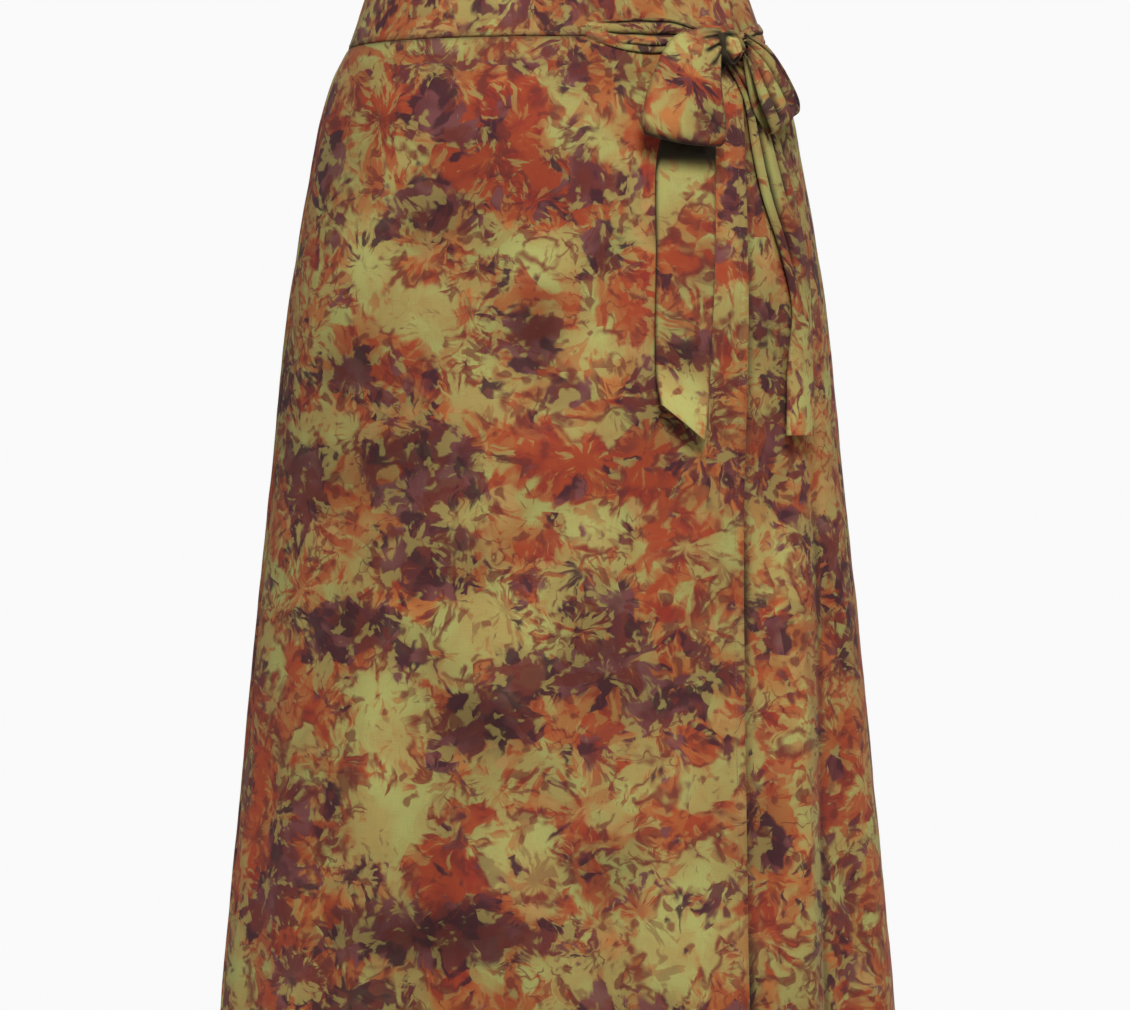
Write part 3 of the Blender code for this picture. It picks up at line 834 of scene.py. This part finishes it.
def edgeStops(end, inward, turnBack):
    # how a free edge folds back inside: shifts along the cloth and lifts
    depth = panelLook["turnDepth"]
    if not turnBack:
        return [(end, 0.0)]
    out = end - inward * panelLook["turnRound"]
    return [(end, 0.0), (out, -depth * 0.25), (out, -depth * 0.75), (end, -depth),
            (end + inward * turnBack * 0.5, -depth), (end + inward * turnBack, -depth)]


def panel(name, node, across, materials, seed, middle, startTurn=0.0, endTurn=0.0,
          shadowLines=()):
    # across lists its columns' stations; its flat cloth is centred at a share of the girth
    first, last = across[0], across[-1]
    lefts = [(first, shift, lift) for shift, lift in reversed(edgeStops(0.0, 1, startTurn))]
    rights = [(last, shift, lift) for shift, lift in edgeStops(0.0, -1, endTurn)]
    stops = lefts + [(station, 0.0, 0.0) for station in across[1:-1]] + rights
    top = skirtForm["bandBottom"] - skirtForm["seamGap"]
    hem = skirtForm["hem"]
    heights = [(top + (hem - top) * share ** panelLook["rowCrowding"], 0.0)
               for share in steps(0, 1, panelLook["rows"])]
    heights = heights[:-1] + edgeStops(hem, 1, panelLook["hemTurn"])
    sewnEdges = [edge for edge, turned in ((first, startTurn), (last, endTurn)) if not turned]

    def place(column, row):
        station, shift, sideLift = stops[column]
        height, hemLift = heights[row]
        here = stationDistance(station, height)
        dip = seamDip(top - height) + sum(
            seamDip(abs(stationDistance(edge, height) - here)) for edge in sewnEdges)
        # sewn edges meet a little past the seam, so that no light comes through
        lap = -panelLook["seamLap"] * (0.5 - (station - first) / (last - first))
        # painted shade along the waist seam, and painted shadow lines beside the outer edge and the
        # valley
        paintedShade = seamShade(top - height)
        for line in shadowLines:
            away = abs(stationDistance(line.station, height) - here)
            if away < 4 * line.reach:
                spot = Vector((line.station, height * panelLook["shadowWaves"], 4))
                uneven = panelLook["shadowLeast"] + panelLook["shadowUneven"] * noise.noise(spot)
                paintedShade += (line.depth * uneven * math.exp(-(away / line.reach) ** 2)
                            * eased((line.start - height) / panelLook["shadowEnd"]))
        turned = max(sideLift + hemLift, -panelLook["deepest"] * panelLook["turnDepth"])
        distance = here + shift - middle * girthAt(height)
        return (onCloth(station, height, wrapDepth(station) + turned - dip, shift + lap),
                (distance, height), dyeTone(distance, height, seed),
                min(paintedShade, panelLook["darkest"]))

    return clothSheet(name, node, len(stops) - 1, len(heights) - 1, place, materials,
                      panelLook["thickness"])


cloths = {}
for name, offset in (("front", (0.0, 0.0)), ("back", (2.6, 1.3)), ("under", (-1.9, 3.4))):
    cloths[name] = (makeClothMaterial(name + "Print", offset),
                    makeClothMaterial(name + "PrintWrongSide", offset, True))
bandCloth = makeClothMaterial("bandPrint", (4.2, -2.1))
tieCloth = makeClothMaterial("tiePrint", (-3.7, -1.6))
print("cloths made")

overlapPanel = panel("overlapPanelCloth", "front_overlap_panel",
                     steps(rightSeam, turn + wrapEdge, 116), cloths["front"],
                     dyeSeeds["front"], 1.0, endTurn=panelLook["edgeTurn"])
# the under front has more columns where the outer one's edge and the valley lie
underStops = (steps(underEdge, 17.4, 40)[:-1] + steps(17.4, 19.2, 12)[:-1]
              + steps(19.2, valley - 1.0, 26)[:-1] + steps(valley - 1.0, valley + 1.0, 14)[:-1]
              + steps(valley + 1.0, leftSeam, 22))
underPanel = panel("underPanelCloth", "front_under_panel", underStops, cloths["under"],
                   dyeSeeds["front"], 0.0, startTurn=panelLook["edgeTurn"],
                   shadowLines=(ShadowLine(wrapEdge + 0.15, 0.0055, 0.10, 0.75),
                                ShadowLine(valley, 0.0042, -0.20, 0.55)))
backPanel = panel("backPanelCloth", "back_panel", steps(leftSeam, rightSeam, 168),
                  cloths["back"], dyeSeeds["back"], 0.5)

bandLook = {"girth": 0.96, "thickness": 0.0008, "turnDepth": 0.0013, "turnRound": 0.0006,
            "turnFlat": 8, "facing": 0.014, "rows": 20, "columns": 540}


def bandStops():
    # the facing inside, the turn over the top, and down the outside
    depth, turned = bandLook["turnDepth"], bandLook["turnRound"]
    top, bottom = skirtForm["bandTop"], skirtForm["bandBottom"] + skirtForm["seamGap"]
    rows = [(top - bandLook["facing"], -depth), (top - bandLook["facing"] / 2, -depth),
            (top - turned, -depth), (top - turned / 6, -depth * 0.7),
            (top - turned / 6, -depth * 0.3)]
    return rows + [(height, 0.0) for height in steps(top - turned, bottom, bandLook["rows"])]


def waistband():
    stops = bandStops()
    last = turn + wrapEdge

    def place(column, row):
        station = last * column / bandLook["columns"]
        height, lift = stops[row]
        above = height - skirtForm["bandBottom"]
        # the print runs true along the band, which is stretched to the waist's shape
        share = stationDistance(station, height) / girthAt(height)
        distance = (share - 1) * bandLook["girth"]
        seed = dyeSeeds["front" if station > rightSeam else "innerBand"]
        # the last value is painted shade along the seam below the band
        return (onCloth(station, height, wrapDepth(station) + lift - seamDip(above)),
                (distance, height - lift * bandLook["turnFlat"]),
                dyeTone(distance, height, seed), seamShade(above))

    return clothSheet("waistbandCloth", "waistband", bandLook["columns"], len(stops) - 1, place,
                      (bandCloth, bandCloth), bandLook["thickness"])


band = waistband()

# the tie: each row gives the distance and height of a strip's two edges, and its lift
tieRows = {
    "front": tableOf(
        Row,
        (0.0240, -0.0270, 0.0240, -0.0130, -0.0012),
        (0.0432, -0.0330, 0.0432, -0.0112, 0.0012),
        (0.0600, -0.0370, 0.0600, -0.0100, 0.0022),
        (0.0780, -0.0387, 0.0780, -0.0090, 0.0025),
        (0.0960, -0.0372, 0.0960, -0.0095, 0.0028),
        (0.1130, -0.0365, 0.1130, -0.0135, 0.0032),
        (0.1330, -0.0350, 0.1330, -0.0190, 0.0044),
    ),
    "side": tableOf(
        Row,
        (0.1625, -0.0360, 0.1625, -0.0190, 0.0044),
        (0.1760, -0.0355, 0.1760, -0.0135, 0.0032),
        (0.1920, -0.0340, 0.1920, -0.0080, 0.0027),
        (0.2080, -0.0310, 0.2080, -0.0050, 0.0024),
        (0.2245, -0.0285, 0.2245, -0.0040, 0.0016),
        (0.2440, -0.0260, 0.2440, -0.0080, -0.0012),
    ),
    "loopLeft": tableOf(
        Row,
        (0.1346, -0.0165, 0.1346, -0.0400, 0.0150),
        (0.1120, -0.0185, 0.1315, -0.0500, 0.0205),
        (0.0890, -0.0283, 0.1300, -0.0590, 0.0235),
        (0.0745, -0.0590, 0.1304, -0.0800, 0.0262),
        (0.0675, -0.0845, 0.1325, -0.1020, 0.0270),
        (0.0668, -0.1020, 0.1325, -0.1130, 0.0250),
        (0.0705, -0.1085, 0.1315, -0.1170, 0.0165),
        (0.0730, -0.1020, 0.1312, -0.1110, 0.0085),
        (0.0780, -0.0800, 0.1310, -0.0920, 0.0052),
        (0.0930, -0.0520, 0.1305, -0.0660, 0.0070),
        (0.1330, -0.0250, 0.1330, -0.0390, 0.0098),
    ),
    "loopRight": tableOf(
        Row,
        (0.1614, -0.0400, 0.1614, -0.0180, 0.0140),
        (0.1640, -0.0520, 0.1770, -0.0235, 0.0160),
        (0.1656, -0.0630, 0.1908, -0.0316, 0.0175),
        (0.1722, -0.0838, 0.2099, -0.0548, 0.0180),
        (0.1810, -0.0985, 0.2240, -0.0715, 0.0165),
        (0.1850, -0.1040, 0.2290, -0.0790, 0.0120),
        (0.1830, -0.0990, 0.2245, -0.0730, 0.0072),
        (0.1730, -0.0840, 0.2080, -0.0570, 0.0060),
        (0.1660, -0.0640, 0.1880, -0.0350, 0.0080),
        (0.1614, -0.0390, 0.1614, -0.0230, 0.0094),
    ),
    "tailLeft": tableOf(
        Row,
        (0.1385, -0.0448, 0.1472, -0.0448, 0.0040),
        (0.1200, -0.0600, 0.1420, -0.0600, 0.0026),
        (0.0990, -0.0850, 0.1380, -0.0850, 0.0018),
        (0.0835, -0.1290, 0.1360, -0.1290, 0.0018),
        (0.0828, -0.2030, 0.1345, -0.2030, 0.0022),
        (0.0815, -0.2700, 0.1310, -0.2740, 0.0024),
        (0.0820, -0.3100, 0.1270, -0.3280, 0.0030),
        (0.0845, -0.3320, 0.1205, -0.3620, 0.0034),
    ),
    "tailRight": tableOf(
        Row,
        (0.1482, -0.0448, 0.1570, -0.0448, 0.0040),
        (0.1600, -0.0620, 0.1800, -0.0600, 0.0026),
        (0.1680, -0.0800, 0.1960, -0.0760, 0.0022),
        (0.1735, -0.1160, 0.2120, -0.1130, 0.0022),
        (0.1839, -0.1580, 0.2290, -0.1560, 0.0022),
        (0.2010, -0.2000, 0.2400, -0.1990, 0.0022),
        (0.2130, -0.2500, 0.2420, -0.2500, 0.0024),
        (0.2020, -0.3050, 0.2360, -0.3050, 0.0028),
        (0.1955, -0.3570, 0.2270, -0.3570, 0.0034),
    ),
}
tieLook = {"thickness": 0.0010, "gatherReach": 0.22, "edgeCrowding": 0.05, "sway": 19,
           "ridgeSway": 0.02, "ridgeShade": 0.5, "grooveSway": 0.012, "grooveFade": 0.06,
           "grooveShade": 1.1, "knotShade": 0.5, "knotShadeReach": 0.08, "rollReach": 0.03,
           "rimReach": 0.035, "sagReach": 0.14, "curlFrom": 0.8, "leastWidth": 0.045,
           "spotStrength": 0.6, "darkest": 0.95}


def betweenRows(rows, share):
    place = share * (len(rows) - 1)
    index = min(int(place), len(rows) - 2)
    step = place - index
    before, start = rows[max(index - 1, 0)], rows[index]
    end, after = rows[index + 1], rows[min(index + 2, len(rows) - 1)]
    return Row(*(
        0.5 * (2 * b + (c - a) * step + (2 * a - 5 * b + 4 * c - d) * step**2
               + (3 * b - a - 3 * c + d) * step**3)
        for a, b, c, d in zip(before, start, end, after)))


# a groove between two folds of a strip: where it lies across, how deep and wide it is, and
# where along the strip it fades in and out
Groove = namedtuple("Groove", "across depth width start end")
# a strip's part darkened with painted shade, and where more or less of a dye lies on it
Shade = namedtuple("Shade", "start end fade depth")
Spot = namedtuple("Spot", "along across halfAlong halfAcross leaf rust plum")


def spanned(along, start, end, fade):
    # one between start and end, with soft ends
    return eased((along - start) / fade + 0.5) * eased((end - along) / fade + 0.5)


def strip(name, node, rows, columns, count, gather, gathers, rolled, tone, crown=0.0, pleat=0.0,
          pleats=0, grooves=(), knotEnds=(0.0,), curl=0.0, sag=0.0, sagAt=0.6, rimPaintedShade=(0.5, 0.5),
          shades=(), spots=()):
    # a strip gathered at its knot ends; gather, rolled, crown, pleat, curl and sag are depths in
    # metres, and the rim values give the painted shade along its right and left edges
    lengths = [0.0]
    middles = []
    for step in range(count + 1):
        row = betweenRows(rows, step / count)
        middles.append(overCloth((row.rightDistance + row.leftDistance) / 2,
                                 (row.rightHeight + row.leftHeight) / 2, row.lift))
    for start, end in zip(middles, middles[1:]):
        lengths.append(lengths[-1] + (end - start).length)

    def place(column, step):
        across, along = column / columns, step / count
        across -= tieLook["edgeCrowding"] * math.sin(2 * math.pi * across)
        row = betweenRows(rows, along)
        distance = row.rightDistance + (row.leftDistance - row.rightDistance) * across
        height = row.rightHeight + (row.leftHeight - row.rightHeight) * across
        arch = 1 - (2 * across - 1) ** 2
        rise = crown * arch
        if pleats:
            rise += pleat * (0.5 - 0.5 * math.cos(2 * math.pi * pleats * across))
        near = min(abs(along - end) for end in knotEnds)
        sway = math.sin(along * tieLook["sway"] + len(name))
        # small ridges run out from the knot, with painted shade between them and near the knot
        pinch = 1 - eased(near / tieLook["gatherReach"])
        ridge = math.sin(2 * math.pi * gathers * (across + tieLook["ridgeSway"] * sway))
        rise += pinch * gather * ridge
        paintedShade = tieLook["ridgeShade"] * pinch * max(-ridge, 0)
        paintedShade += tieLook["knotShade"] * (1 - eased(near / tieLook["knotShadeReach"]))
        # each groove sinks the cloth and paints shade into it
        for groove in grooves:
            where = groove.across + tieLook["grooveSway"] * sway
            depth = math.exp(-((across - where) / groove.width) ** 2)
            depth *= spanned(along, groove.start, groove.end, tieLook["grooveFade"])
            rise -= groove.depth * depth
            paintedShade += tieLook["grooveShade"] * depth
        rim = min(across, 1 - across)
        rise -= rolled * math.exp(-(rim / tieLook["rollReach"]) ** 2)
        # painted shade along the strip's edges
        rimShade = rimPaintedShade[0] if across < 0.5 else rimPaintedShade[1]
        paintedShade += rimShade * math.exp(-(rim / tieLook["rimReach"]) ** 2)
        # painted shade over the listed spans of the strip
        for shade in shades:
            paintedShade += shade.depth * spanned(along, shade.start, shade.end, shade.fade)
        height -= sag * arch * math.exp(-((along - sagAt) / tieLook["sagReach"]) ** 2)
        dyes = Vector(tone)
        for spot in spots:
            away = (((along - spot.along) / spot.halfAlong) ** 2
                    + ((across - spot.across) / spot.halfAcross) ** 2)
            strength = tieLook["spotStrength"] * math.exp(-away)
            dyes += Vector((spot.leaf, spot.rust, spot.plum)) * strength
        rise += curl * eased((along - tieLook["curlFrom"]) / (1 - tieLook["curlFrom"]))
        width = math.hypot(row.rightDistance - row.leftDistance, row.rightHeight - row.leftHeight)
        flat = ((across - 0.5) * max(width, tieLook["leastWidth"]), lengths[step])
        return (overCloth(distance, height, row.lift + rise), flat, (*dyes, 1.0),
                min(paintedShade, tieLook["darkest"]))

    return clothSheet(name, node, columns, count, place, (tieCloth, tieCloth),
                      tieLook["thickness"], offset=0.0)


tieFront = strip("tieFrontCloth", "tie_front", tieRows["front"], 44, 90, gather=0.0003, gathers=6,
                 rolled=0.0010, tone=(0.70, 0.50, 0.42), pleat=0.0014, pleats=2, knotEnds=(1.0,),
                 grooves=(Groove(0.20, 0.0022, 0.040, 0.30, 1.5),
                          Groove(0.52, 0.0026, 0.050, 0.16, 1.5),
                          Groove(0.90, 0.0030, 0.050, 0.10, 1.5)))
tieSide = strip("tieSideCloth", "tie_side", tieRows["side"], 44, 60, gather=0.0003, gathers=6,
                rolled=0.0010, tone=(0.60, 0.60, 0.45), pleat=0.0014, pleats=2,
                grooves=(Groove(0.30, 0.0026, 0.050, -0.5, 1.5),
                         Groove(0.66, 0.0022, 0.050, -0.5, 1.5)))
# from its rolled lower end on, the left loop takes painted shade
loopLeft = strip("loopLeftCloth", "loop_left", tieRows["loopLeft"], 64, 200, gather=0.0005,
                 gathers=5, rolled=0.0012, tone=(0.74, 0.42, 0.30), crown=0.003,
                 knotEnds=(0.0, 1.0), sag=0.0035, sagAt=0.58,
                 grooves=(Groove(0.24, 0.0024, 0.050, -0.5, 0.11),
                          Groove(0.52, 0.0030, 0.055, -0.5, 0.14),
                          Groove(0.80, 0.0026, 0.050, -0.5, 0.18)),
                 shades=(Shade(0.545, 1.2, 0.05, 0.80),),
                 spots=(Spot(0.12, 0.30, 0.10, 0.4, 0.6, 0.3, -0.3),
                        Spot(0.29, 0.60, 0.036, 0.8, -0.9, 1.1, 0.0),
                        Spot(0.43, 0.15, 0.08, 0.35, -0.1, 0.5, -0.4),
                        Spot(0.40, 0.80, 0.06, 0.22, -0.3, 0.0, 1.3),
                        Spot(0.56, 0.50, 0.05, 0.8, -0.3, 0.1, 0.9)))
loopRight = strip("loopRightCloth", "loop_right", tieRows["loopRight"], 72, 200, gather=0.0005,
                  gathers=7, rolled=0.0012, tone=(0.62, 0.50, 0.48), crown=0.001, pleat=0.0018,
                  pleats=3, knotEnds=(0.0, 1.0),
                  grooves=(Groove(0.26, 0.0062, 0.050, -0.5, 0.44),
                           Groove(0.58, 0.0058, 0.055, -0.5, 0.40),
                           Groove(0.86, 0.0040, 0.045, -0.5, 0.48)),
                  spots=(Spot(0.40, 0.95, 0.15, 0.22, -0.5, 0.4, 0.9),
                         Spot(0.25, 0.40, 0.15, 0.25, 0.6, -0.2, -0.2)))
# the left tail's top, under the left loop, takes a painted shadow
tailLeft = strip("tailLeftCloth", "tail_left", tieRows["tailLeft"], 48, 200, gather=0.0004,
                 gathers=4, rolled=0.0014, tone=(0.68, 0.48, 0.36), crown=0.0018, curl=0.009,
                 rimPaintedShade=(0.9, 0.45), grooves=(Groove(0.35, 0.0026, 0.05, -0.5, 0.30),
                                            Groove(0.70, 0.0026, 0.05, -0.5, 0.34)),
                 shades=(Shade(-1.0, 0.432, 0.05, 1.25),),
                 spots=(Spot(0.34, 0.3, 0.05, 0.5, -0.1, 0.7, 0.2),
                        Spot(0.46, 0.6, 0.06, 0.7, 0.5, 0.1, -0.3),
                        Spot(0.60, 0.4, 0.07, 0.8, -0.2, 0.9, 0.0),
                        Spot(0.76, 0.5, 0.04, 0.9, -0.5, 0.0, 1.2),
                        Spot(0.92, 0.4, 0.10, 0.9, 0.6, 0.3, -0.4)))
tailRight = strip("tailRightCloth", "tail_right", tieRows["tailRight"], 48, 210, gather=0.0004,
                  gathers=4, rolled=0.0014, tone=(0.60, 0.50, 0.50), pleat=0.0014, pleats=1,
                  curl=0.006, rimPaintedShade=(0.45, 0.9), grooves=(Groove(0.30, 0.0044, 0.055, -0.5, 0.66),
                                                         Groove(0.68, 0.0034, 0.050, -0.5, 0.50)),
                  spots=(Spot(0.35, 0.4, 0.14, 0.5, 0.7, -0.2, -0.3),
                         Spot(0.62, 0.6, 0.06, 0.8, -0.3, 0.0, 0.9),
                         Spot(0.85, 0.5, 0.12, 0.8, 0.5, 0.3, -0.2)))

# the knot: a squeezed pad of cloth with a pinched rim
knotLook = {"distance": 0.1425, "height": -0.0325, "lift": 0.0155, "halfWidth": 0.0140,
            "halfDepth": 0.0115, "halfHeight": 0.0145, "padSide": 0.05, "padUp": 0.0,
            "ringRadius": 0.66, "ringWidth": 0.15, "ringDepth": 0.0045, "ringFront": 0.5,
            "rimFolds": 0.07, "swells": 0.035, "lumps": 0.02, "ringWaves": (0.07, 0.05),
            "shadowFrom": 0.50, "shadowOver": 0.13, "shadow": 0.95, "flatten": 0.34,
            "tone": (1.00, 0.66, 0.0, 1.0), "flatPlace": 0.31}


def makeKnot():
    out = onOutline(knotLook["distance"], knotLook["height"])[1]
    aside = Vector((-out.y, out.x, 0))
    middle = overCloth(knotLook["distance"], knotLook["height"], knotLook["lift"])
    mesh = bmesh.new()
    flatLayer, toneLayer, paintedShadeLayer = clothLayers(mesh)
    bmesh.ops.create_uvsphere(mesh, u_segments=64, v_segments=44, radius=1.0)
    twoWaves, fiveWaves = knotLook["ringWaves"]
    flat = {}
    for corner in mesh.verts:
        side, front, up = corner.co.x, -corner.co.y, corner.co.z
        around = math.atan2(up, side)
        outer = 1 - abs(front)
        fold = 1 + knotLook["rimFolds"] * math.cos(5 * around) * outer
        swell = (1 + knotLook["swells"] * math.sin(9 * around + 3 * front) * outer
                 + knotLook["lumps"] * math.sin(4 * up + 2 * side))
        # a pad at the middle, sunk in a ring where the tie is drawn through
        ring = (math.hypot(side - knotLook["padSide"], up - knotLook["padUp"])
                + twoWaves * math.sin(2 * around + 0.6) + fiveWaves * math.sin(5 * around))
        sunk = math.exp(-((ring - knotLook["ringRadius"]) / knotLook["ringWidth"]) ** 2)
        sunk *= eased(front / knotLook["ringFront"]) * knotLook["ringDepth"]
        # the ring holds a painted shadow, lighter above and towards the left hip
        shadow = (eased((ring - knotLook["shadowFrom"]) / knotLook["shadowOver"])
                  * (1 - 0.5 * eased((side + 0.5 * up - 0.2) / 0.5)))
        depth = 1 - knotLook["flatten"] * math.exp(-(ring / knotLook["shadowFrom"]) ** 2)
        flat[corner] = (side * knotLook["halfWidth"] + knotLook["flatPlace"],
                        up * knotLook["halfHeight"])
        corner[toneLayer] = knotLook["tone"]
        corner[paintedShadeLayer] = knotLook["shadow"] * shadow
        corner.co = (middle + aside * side * fold * swell * knotLook["halfWidth"]
                     + out * (front * swell * depth * knotLook["halfDepth"] - sunk)
                     + Vector((0, 0, up * fold * swell * knotLook["halfHeight"])))
    layFlat(mesh, flatLayer, flat)
    bmesh.ops.recalc_face_normals(mesh, faces=mesh.faces)
    return newPiece("knotCloth", mesh, (tieCloth,))


knot = makeKnot()
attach(knot, "root")
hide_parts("knot")

# sewing: rows of small stitches, each a thread's half sunk bead
threadLook = {"colour": (0.12, 0.085, 0.035, 1.0), "roughness": 0.65, "length": 0.0024,
              "gap": 0.0009, "width": 0.00055, "height": 0.00035, "seat": 0.15,
              "grain": 900.0, "dark": 0.75, "pale": 1.25}


def grainBetween(tree, scale, detail, low, high):
    # noise on the piece's own place, between two values
    place = addNode(tree, "ShaderNodeTexCoord").outputs["Object"]
    grain = addNode(tree, "ShaderNodeTexNoise",
                    {"Vector": place, "Scale": scale, "Detail": detail}).outputs["Fac"]
    return addNode(tree, "ShaderNodeMapRange",
                   {"Value": grain, "To Min": low, "To Max": high}).outputs["Result"]


def makeThread():
    made, tree, sockets = newMaterial("sewingThread")
    shade = grainBetween(tree, threadLook["grain"], 1.0, threadLook["dark"], threadLook["pale"])
    shaded = addNode(tree, "ShaderNodeHueSaturation",
                     {"Value": shade, "Color": threadLook["colour"]})
    tree.links.new(shaded.outputs["Color"], sockets["Base Color"])
    sockets["Roughness"].default_value = threadLook["roughness"]
    return made


thread = makeThread()


def stitchRow(mesh, place, length):
    # place(share) gives a point on the cloth along the row and the way out there
    pitch = threadLook["length"] + threadLook["gap"]
    count = int(length / pitch)
    half = 0.5 * threadLook["length"] / length
    batch = bmesh.new()
    for index in range(count):
        share = (index + 0.5) / count
        start, end = place(share - half)[0], place(share + half)[0]
        outward = place(share)[1]
        along = (end - start).normalized()
        outward = (outward - along * outward.dot(along)).normalized()
        aside = along.cross(outward)
        turned = Matrix((aside, outward, along)).transposed().to_4x4()
        sized = Matrix.Diagonal((threadLook["width"] / 2, threadLook["height"] / 2,
                                 threadLook["length"] / 2, 1.0))
        proud = outward * threadLook["height"] * threadLook["seat"]
        seat = Matrix.Translation((start + end) / 2 + proud)
        bmesh.ops.create_uvsphere(batch, u_segments=6, v_segments=4, radius=1.0,
                                  matrix=seat @ turned @ sized)
        if index % 50 == 49 or index == count - 1:     # small batches keep the operators quick
            held = bpy.data.meshes.new("stitchBatch")
            batch.to_mesh(held)
            mesh.from_mesh(held)
            batch.clear()
            bpy.data.meshes.remove(held)
    batch.free()


def stitches(name, rows):
    mesh = bmesh.new()
    for place, length in rows:
        stitchRow(mesh, place, length)
    piece = newPiece(name, mesh, (thread,))
    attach(piece, "root")


def acrossRow(first, last, height):
    def place(share):
        station = first + (last - first) * share
        outward = onOutline(stationDistance(station, height), height)[1]
        return onCloth(station, height, wrapDepth(station)), outward
    return place, stationDistance(last, height) - stationDistance(first, height)


def downRow(station, shift):
    top = skirtForm["bandBottom"] - stitchLook["belowBand"]
    bottom = skirtForm["hem"] + stitchLook["aboveHem"]

    def place(share):
        height = top + (bottom - top) * share
        outward = onOutline(stationDistance(station, height) + shift, height)[1]
        return onCloth(station, height, wrapDepth(station), shift), outward
    return place, top - bottom


# how far each row lies from an edge, a turned hem's inner line or a seam
stitchLook = {"belowBand": 0.003, "aboveHem": 0.002, "hemInset": 0.002, "edgeInset": 0.0015,
              "aboveSeam": 0.0035, "belowTop": 0.0025}
hemLine = skirtForm["hem"] + panelLook["hemTurn"] - stitchLook["hemInset"]
edgeLine = panelLook["edgeTurn"] - stitchLook["edgeInset"]
stitches("overlapPanelStitches", [
    acrossRow(rightSeam + 0.1, turn + wrapEdge - 0.5, hemLine),
    downRow(turn + wrapEdge, -edgeLine)])
stitches("underPanelStitches", [
    acrossRow(underEdge + 0.5, leftSeam - 0.1, hemLine), downRow(underEdge, edgeLine)])
stitches("backPanelStitches", [
    acrossRow(leftSeam + 0.1, rightSeam - 0.1, hemLine)])
stitches("waistbandStitches", [
    acrossRow(0.3, turn + wrapEdge - 0.3, skirtForm["bandBottom"] + stitchLook["aboveSeam"]),
    acrossRow(0.3, turn + wrapEdge - 0.3, skirtForm["bandTop"] - stitchLook["belowTop"])])

# floor, light and camera
Lamp = namedtuple("Lamp", "name place target side power")
studio = {
    "floorHeight": -1.07, "floorRadius": 1.6, "floorTone": (0.80, 0.80, 0.79, 1.0),
    "floorGrain": 60.0, "floorSmooth": 0.55, "floorRough": 0.75,
    "skySeen": 0.955, "skyLight": 0.185, "sensor": 36.0,
    "lamps": (
        Lamp("keyLight", (0.40, -2.2, 2.0), (0, 0, -0.35), 0.9, 122),
        Lamp("leftLight", (-2.4, -1.6, 0.7), (0, 0, -0.5), 1.4, 27),
        Lamp("rightLight", (2.5, -1.4, 0.7), (0, 0, -0.5), 1.4, 24),
        Lamp("backLight", (0.4, 3.0, 1.4), (0, 0, -0.4), 1.8, 105),
    ),
}


def makeFloor():
    paint, tree, sockets = newMaterial("paleFloor")
    rough = grainBetween(tree, studio["floorGrain"], 3.0, studio["floorSmooth"],
                         studio["floorRough"])
    tree.links.new(rough, sockets["Roughness"])
    sockets["Base Color"].default_value = studio["floorTone"]
    mesh = bmesh.new()
    bmesh.ops.create_circle(mesh, cap_ends=True, segments=96, radius=studio["floorRadius"])
    bmesh.ops.translate(mesh, vec=(0, 0, studio["floorHeight"]), verts=mesh.verts)
    return newPiece("floor", mesh, (paint,))


def makeSky():
    world = bpy.data.worlds.new("studio")
    bpy.context.scene.world = world
    world.use_nodes = True
    sockets = world.node_tree.nodes["Background"].inputs
    seen = addNode(world.node_tree, "ShaderNodeLightPath").outputs["Is Camera Ray"]
    strength = addNode(world.node_tree, "ShaderNodeMapRange", {
        "Value": seen, "To Min": studio["skyLight"], "To Max": studio["skySeen"]})
    world.node_tree.links.new(strength.outputs["Result"], sockets["Strength"])
    sockets["Color"].default_value = (1.0, 1.0, 1.0, 1.0)


def hang(name, data, place, rotation):
    held = bpy.data.objects.new(name, data)
    held.location = place
    held.rotation_euler = rotation
    bpy.context.scene.collection.objects.link(held)
    return held


floor = makeFloor()
makeSky()
for lamp in studio["lamps"]:
    light = bpy.data.lights.new(lamp.name, "AREA")
    light.size = lamp.side
    light.energy = lamp.power
    towards = Vector(lamp.target) - Vector(lamp.place)
    hang(lamp.name, light, lamp.place, towards.to_track_quat("-Z", "Y").to_euler())

lens = bpy.data.cameras.new("photoView")
lens.sensor_width = studio["sensor"]
lens.lens = studio["sensor"] * -view["place"][1] / view["widthThere"]
bpy.context.scene.camera = hang("photoView", lens, view["place"], (math.pi / 2, 0, 0))
bpy.context.scene.view_settings.view_transform = "Standard"
print("floor, lights and camera placed")
